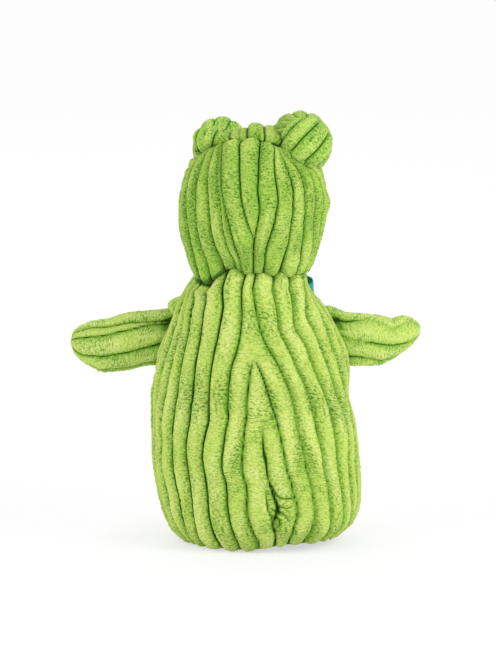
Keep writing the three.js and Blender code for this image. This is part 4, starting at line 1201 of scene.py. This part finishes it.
# A copy of the torso's plush with paler colours, painted light on the arms, and less parted pile.
smooth_lit_plush = corduroy_plush(
    "smooth_lime_corduroy_plush_painted_lighter", 0.03, "#e8f1a2", "#e2ee90", "#cde274", "#98c646", "#4c851e", "#1e400c"
)


def flattened(wave, power):
    """A wave from -1 to 1 with squarer turns, for a section that is flatter than a round one."""
    return np.sign(wave) * np.abs(wave) ** power


def stuffed(points, held, pressure, cap):
    """Swells a form as its stuffing does: a coarse copy is simulated as cloth under pressure, held along its seams."""
    bpy.ops.object.select_all(action="DESELECT")
    form = rings_mesh("form", points)
    form.select_set(True)
    bpy.context.view_layer.objects.active = form
    coarse = form.modifiers.new("coarse", "REMESH")
    coarse.mode, coarse.voxel_size = "VOXEL", 4 * MM
    bpy.ops.object.modifier_apply(modifier=coarse.name)
    before = np.array([corner.co for corner in form.data.vertices])
    flat = points.reshape(-1, 3)
    nearest = np.array([np.argmin(((flat - spot) ** 2).sum(axis=1)) for spot in before])
    pins = form.vertex_groups.new(name="seam")
    pins.add(np.flatnonzero(held.ravel()[nearest]).tolist(), 1.0, "REPLACE")
    cloth = form.modifiers.new("swell", "CLOTH")
    cloth.settings.use_pressure = True
    cloth.settings.uniform_pressure_force = pressure
    cloth.settings.effector_weights.gravity = 0
    cloth.settings.vertex_group_mass = pins.name
    for frame_number in range(1, 21):
        bpy.context.scene.frame_set(frame_number)
    bpy.ops.object.modifier_apply(modifier=cloth.name)
    moved = np.array([corner.co for corner in form.data.vertices]) - before
    far = np.linalg.norm(moved, axis=1, keepdims=True)
    moved *= np.minimum(1, cap / np.maximum(far, 1e-9))
    bpy.data.objects.remove(form)
    bpy.context.scene.frame_set(1)
    # Each point of the fine form moves as the coarse ones within a few millimetres do, 2000 points at a time.
    carried = np.zeros(flat.shape)
    for start in range(0, len(flat), 2000):
        part = flat[start : start + 2000]
        gap = ((part[:, None] - before[None]) ** 2).sum(axis=2)
        weight = np.exp(-gap / (2 * (3 * MM) ** 2)) + 1e-9
        carried[start : start + 2000] = (weight @ moved) / weight.sum(axis=1, keepdims=True)
    return points + carried.reshape(points.shape)


for side, sign in (("left", 1), ("right", -1)):
    outline = smooth_through(ARM_OUTLINES[side], ARM_ROWS)
    x = (PLUMB_COLUMN - outline[:, :1]) * PIXEL
    length = (x - x[0]) / (x[-1] - x[0])
    y = ARM_ROOT_DEPTH - np.abs(x - x[0]) * math.tan(ARM_SWEEP[side])
    top, bottom = height_seen(outline[:, 1:2], y), height_seen(outline[:, 2:], y)
    half_thick = np.interp(length, *np.array(ARM_THICKNESS).T) * ARM_HALF_THICKNESS
    around = 2 * np.pi * (np.arange(ARM_COLUMNS) + 0.5) / ARM_COLUMNS
    height = (top + bottom) / 2 + (top - bottom) / 2 * np.cos(around)
    root = torso_half_width(height) * math.sin(TORSO_SIDE_SEAM) - ARM_ROOT_SINK
    free = ease(length, 0.1, 0.75)
    outward = (1 - free) * (root + (np.abs(x[-1]) - root) * length) + free * np.abs(x)
    base = np.stack([sign * outward, y + half_thick * flattened(np.sin(around), 0.85), height], axis=-1)
    held = (np.abs(np.sin(around)) < 0.34) | (length < 0.08) | (length > 0.95)
    base = stuffed(base, held, ARM_PRESSURE, ARM_SWELL)
    normals = surface_normals(base)
    if np.einsum("ijk,ijk->", normals, base - base.mean(axis=1, keepdims=True)) < 0:
        normals = -normals
    stations, *marks = np.array(ARM_GROOVES[side], float).T
    wales, degrees_round = len(marks), np.degrees(around)
    phase, width = np.zeros(height.shape), np.zeros(height.shape)
    for row in range(ARM_ROWS):
        here = [np.interp(length[row, 0], stations, mark) for mark in marks]
        here = np.array([here[-1] - 360, *here, here[0] + 360])
        phase[row] = np.interp(degrees_round, here, np.arange(-1, wales + 1))
        spot = np.clip(np.searchsorted(here, degrees_round) - 1, 0, wales)
        width[row] = np.radians(np.diff(here)[spot]) * (top[row] - bottom[row]) / 2 * 0.8
    crest = wale_height(phase)
    if side == "right":
        # Its pile is brushed over the middle groove at the root and the tip, and over the rest towards the hand.
        towards_hand, at_tip = ease(length, 0.25, 0.5), ease(length, 0.86, 0.97)
        brushed = np.where(np.rint(phase) == 1, 0.45 * (1 - towards_hand + at_tip), 0.5 * towards_hand)
        crest = 1 - (1 - crest) * (1 - np.where(np.rint(phase) == 2, 0.4 * brushed, brushed))
    relief = (crest - 1) * np.clip(0.26 * width, 0.4 * MM, 2.4 * MM) * ease(length, 0, 0.08)
    across, along = phase * WALE, lengths_along(base[:, 0])[:, None] + 0 * height
    relief += pile_relief(across + 3.0 * sign, along) * ease(crest, 0.1, 0.6)
    relief += 0.8 * MM * mottle(height / (14 * MM), along / (16 * MM), 41 + sign)
    relief += 0.9 * MM * mottle(height / (5 * MM), along / (30 * MM), 43) * (1 - ease(length, 0.05, 0.22))
    relief *= ease(1 - length, 0, 0.03)
    # The gathers at the root hold deep shade.
    gathers = ease(mottle(height / (4 * MM), along / (7 * MM), 45), -0.1, 0.5) * (1 - ease(length, 0.1, 0.2))
    relief -= 0.6 * MM * gathers
    # Painted shade darkens the pile from the root to about a third of the way out.
    painted_root_shade = length + 0.08 * mottle(height / (7 * MM), along / (9 * MM), 47)
    painted_root_shade = 1 - ease(painted_root_shade, 0.08, 0.24 if side == "left" else 0.4)
    crest_with_painted_shade = crest * ease(length, 0, 0.03) * (1 - 0.5 * gathers) * (1 - 0.33 * painted_root_shade)
    outer = base + normals * relief[..., None]
    hollow = np.minimum(COVER_THICKNESS, half_thick * 0.45)[..., None]
    inner = (base - normals * hollow)[np.linspace(0, ARM_ROWS - 6, 12).astype(int)]
    cloth = np.stack([across, along], axis=-1)
    cover = rings_mesh(f"{side}_arm_cover", [*outer[::-1], *inner], cloth[::-1], crest_with_painted_shade[::-1])
    cover.data.materials.append(smooth_lit_plush)
    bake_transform(cover)
    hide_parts(f"{side}_arm_front_panel", f"{side}_arm_back_panel")
    rows = np.linspace(24, ARM_ROWS - 14, 30).astype(int)
    wadding = rings_mesh(f"{side}_arm_wad", (base - normals * (hollow + 0.8 * MM))[rows, ::3])
    wadding.data.materials.append(fibre)
    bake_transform(wadding)
    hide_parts(f"{side}_arm_stuffing")

# ---------------------------------------------------------------------------
# Bow
# Teal cotton poplin, double and turned in at its edges. Each loop is a strip
# folded back on itself, and a band gathers both loops and is sewn to the chest.
# ---------------------------------------------------------------------------
BOW_PLACE = (0, -0.0477, 0.141)
BOW_LEAN = math.radians(-30)
BOW_SWEEP = math.radians(11)
LOOP_START = 4.2
LOOP_REACH = 31
LOOP_STRIP = 23
LOOP_CLOTH = 1.3
# Half of a loop, in mm: how far past its start, and how far from its middle.
LOOP_SHAPE = [(0, 0.9), (3, 1.7), (9, 3.9), (18, 5), (26, 4.6), (LOOP_REACH - 1.2, 2.9)]

# Cotton poplin: a fine plain weave with a soft sheen, its threads drawn 0.5 mm apart so that they show.
poplin, tree = bare_material("teal_cotton_poplin")
place = add_node(tree, "ShaderNodeUVMap", uv_map="cloth")
yarn = {"Vector": place.outputs[0], "Scale": 310, "Distortion": 0.4, "Detail": 1, "Detail Scale": 2}
warp, weft = [add_node(tree, "ShaderNodeTexWave", yarn, bands_direction=lie).outputs[1] for lie in ("X", "Y")]
weave = add_node(tree, "ShaderNodeMath", {0: warp, 1: weft}, operation="ADD")
fade = add_node(tree, "ShaderNodeTexNoise", {"Vector": place.outputs[0], "Scale": 120, "Detail": 3})
tone = add_node(tree, "ShaderNodeValToRGB", {0: fade.outputs[0]})
for stop, position, colour in zip(tone.color_ramp.elements, (0.3, 0.7), ("#128c8e", "#2fb4b4")):
    stop.position, stop.color = position, linear(colour)
lift = add_node(tree, "ShaderNodeBump", {"Strength": 0.35, "Distance": 0.12 * MM, "Height": weave.outputs[0]})
surface = {"Base Color": tone.outputs[0], "Roughness": 0.62, "Specular IOR Level": 0.3, "Sheen Weight": 0.25}
shade = add_node(tree, "ShaderNodeBsdfPrincipled", {**surface, "Normal": lift.outputs[0]})
add_node(tree, "ShaderNodeOutputMaterial", {"Surface": shade.outputs[0]})


def bow_place(points, turn):
    """Turns points of the bow's own frame, in mm, to their place at the throat."""
    turned_points = np.array(points) @ np.array(Matrix.Rotation(turn, 3, "Z")).T
    return (turned_points @ np.array(Matrix.Rotation(BOW_LEAN, 3, "X")).T) * MM + np.array(BOW_PLACE)


def strip_rings(line, half_width, across, ripple):
    """Rings of a strip of cloth with soft edges: its line in x and y, its half width along z, and ripples in it."""
    tangent = np.gradient(line, axis=0)
    tangent /= np.linalg.norm(tangent, axis=1, keepdims=True)
    normal = np.column_stack([-tangent[:, 1], tangent[:, 0]])
    points = np.zeros((*ripple.shape, 3))
    points[..., :2] = line[:, None] + normal[:, None] * ripple[..., None]
    points[..., 2] = half_width * across
    faces_out = np.cross(np.gradient(points, axis=0), np.gradient(points, axis=1))
    faces_out /= np.maximum(np.linalg.norm(faces_out, axis=2, keepdims=True), 1e-9)
    lift = faces_out * np.sqrt(np.clip(1 - np.abs(across) ** 6, 0.12, 1))[..., None] * LOOP_CLOTH / 2
    return np.concatenate([points + lift, (points - lift)[:, ::-1]], axis=1)


shape = [(LOOP_START + out, away) for out, away in LOOP_SHAPE]
line = smooth_through([*((x, -y) for x, y in shape), (LOOP_START + LOOP_REACH, 0), *shape[::-1]], 110)
out = (line[:, :1] - LOOP_START) / LOOP_REACH
half_width = (0.42 + 0.58 * ease(out, 0, 0.62)) * LOOP_STRIP / 2
across = np.linspace(-1, 1, 41)[None, :]
pleats = 0.9 * np.cos(across * 8.2 + 0.6) * near(out, 0.34)
along = lengths_along(line)[:, None]
length = along[-1, 0]
flat = np.stack(np.broadcast_arrays(along, across * LOOP_STRIP / 2), axis=-1)
cloth = np.concatenate([flat, flat[:, ::-1]], axis=1) * MM
for side, turn, seed in (("left", BOW_SWEEP, 61), ("right", math.pi - BOW_SWEEP, 62)):
    sway = 0.55 * mottle(out * 2.2 + 3 * (line[:, 1:] > 0), across * 1.3 + 4, seed) * ease(out, 0.15, 0.6)
    rings = strip_rings(line, half_width, across, pleats + sway)
    loop = rings_mesh(f"bow_{side}_loop_cloth", bow_place(rings, turn), cloth)
    loop.data.materials.append(poplin)
    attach(loop, "torso")
    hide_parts(f"bow_{side}_loop")
around = 2 * np.pi * np.arange(96) / 96
up = np.linspace(-1, 1, 60)[:, None]
fold = 0.5 * np.cos(up * 9 + 0.8) * (0.4 + 0.6 * np.abs(np.sin(around)))
squeeze = (1 - 0.1 * (1 - up**2)) * np.sqrt(np.clip(1.0 - np.abs(up) ** 7, 0.02, 1))
points = np.stack(
    [
        (5.7 + 0.5 * fold) * squeeze * flattened(np.cos(around), 0.75),
        (6.0 + fold) * squeeze * flattened(np.sin(around), 0.75),
        7.9 * up + 0.25 * np.sin(around * 3) + 0 * around,
    ],
    axis=-1,
)
cloth = np.stack(np.broadcast_arrays(around * 6 * MM, up * 8 * MM), axis=-1)
knot = rings_mesh("bow_knot_band", bow_place(points, 0), cloth)
knot.data.materials.append(poplin)
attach(knot, "torso")
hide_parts("bow_knot")
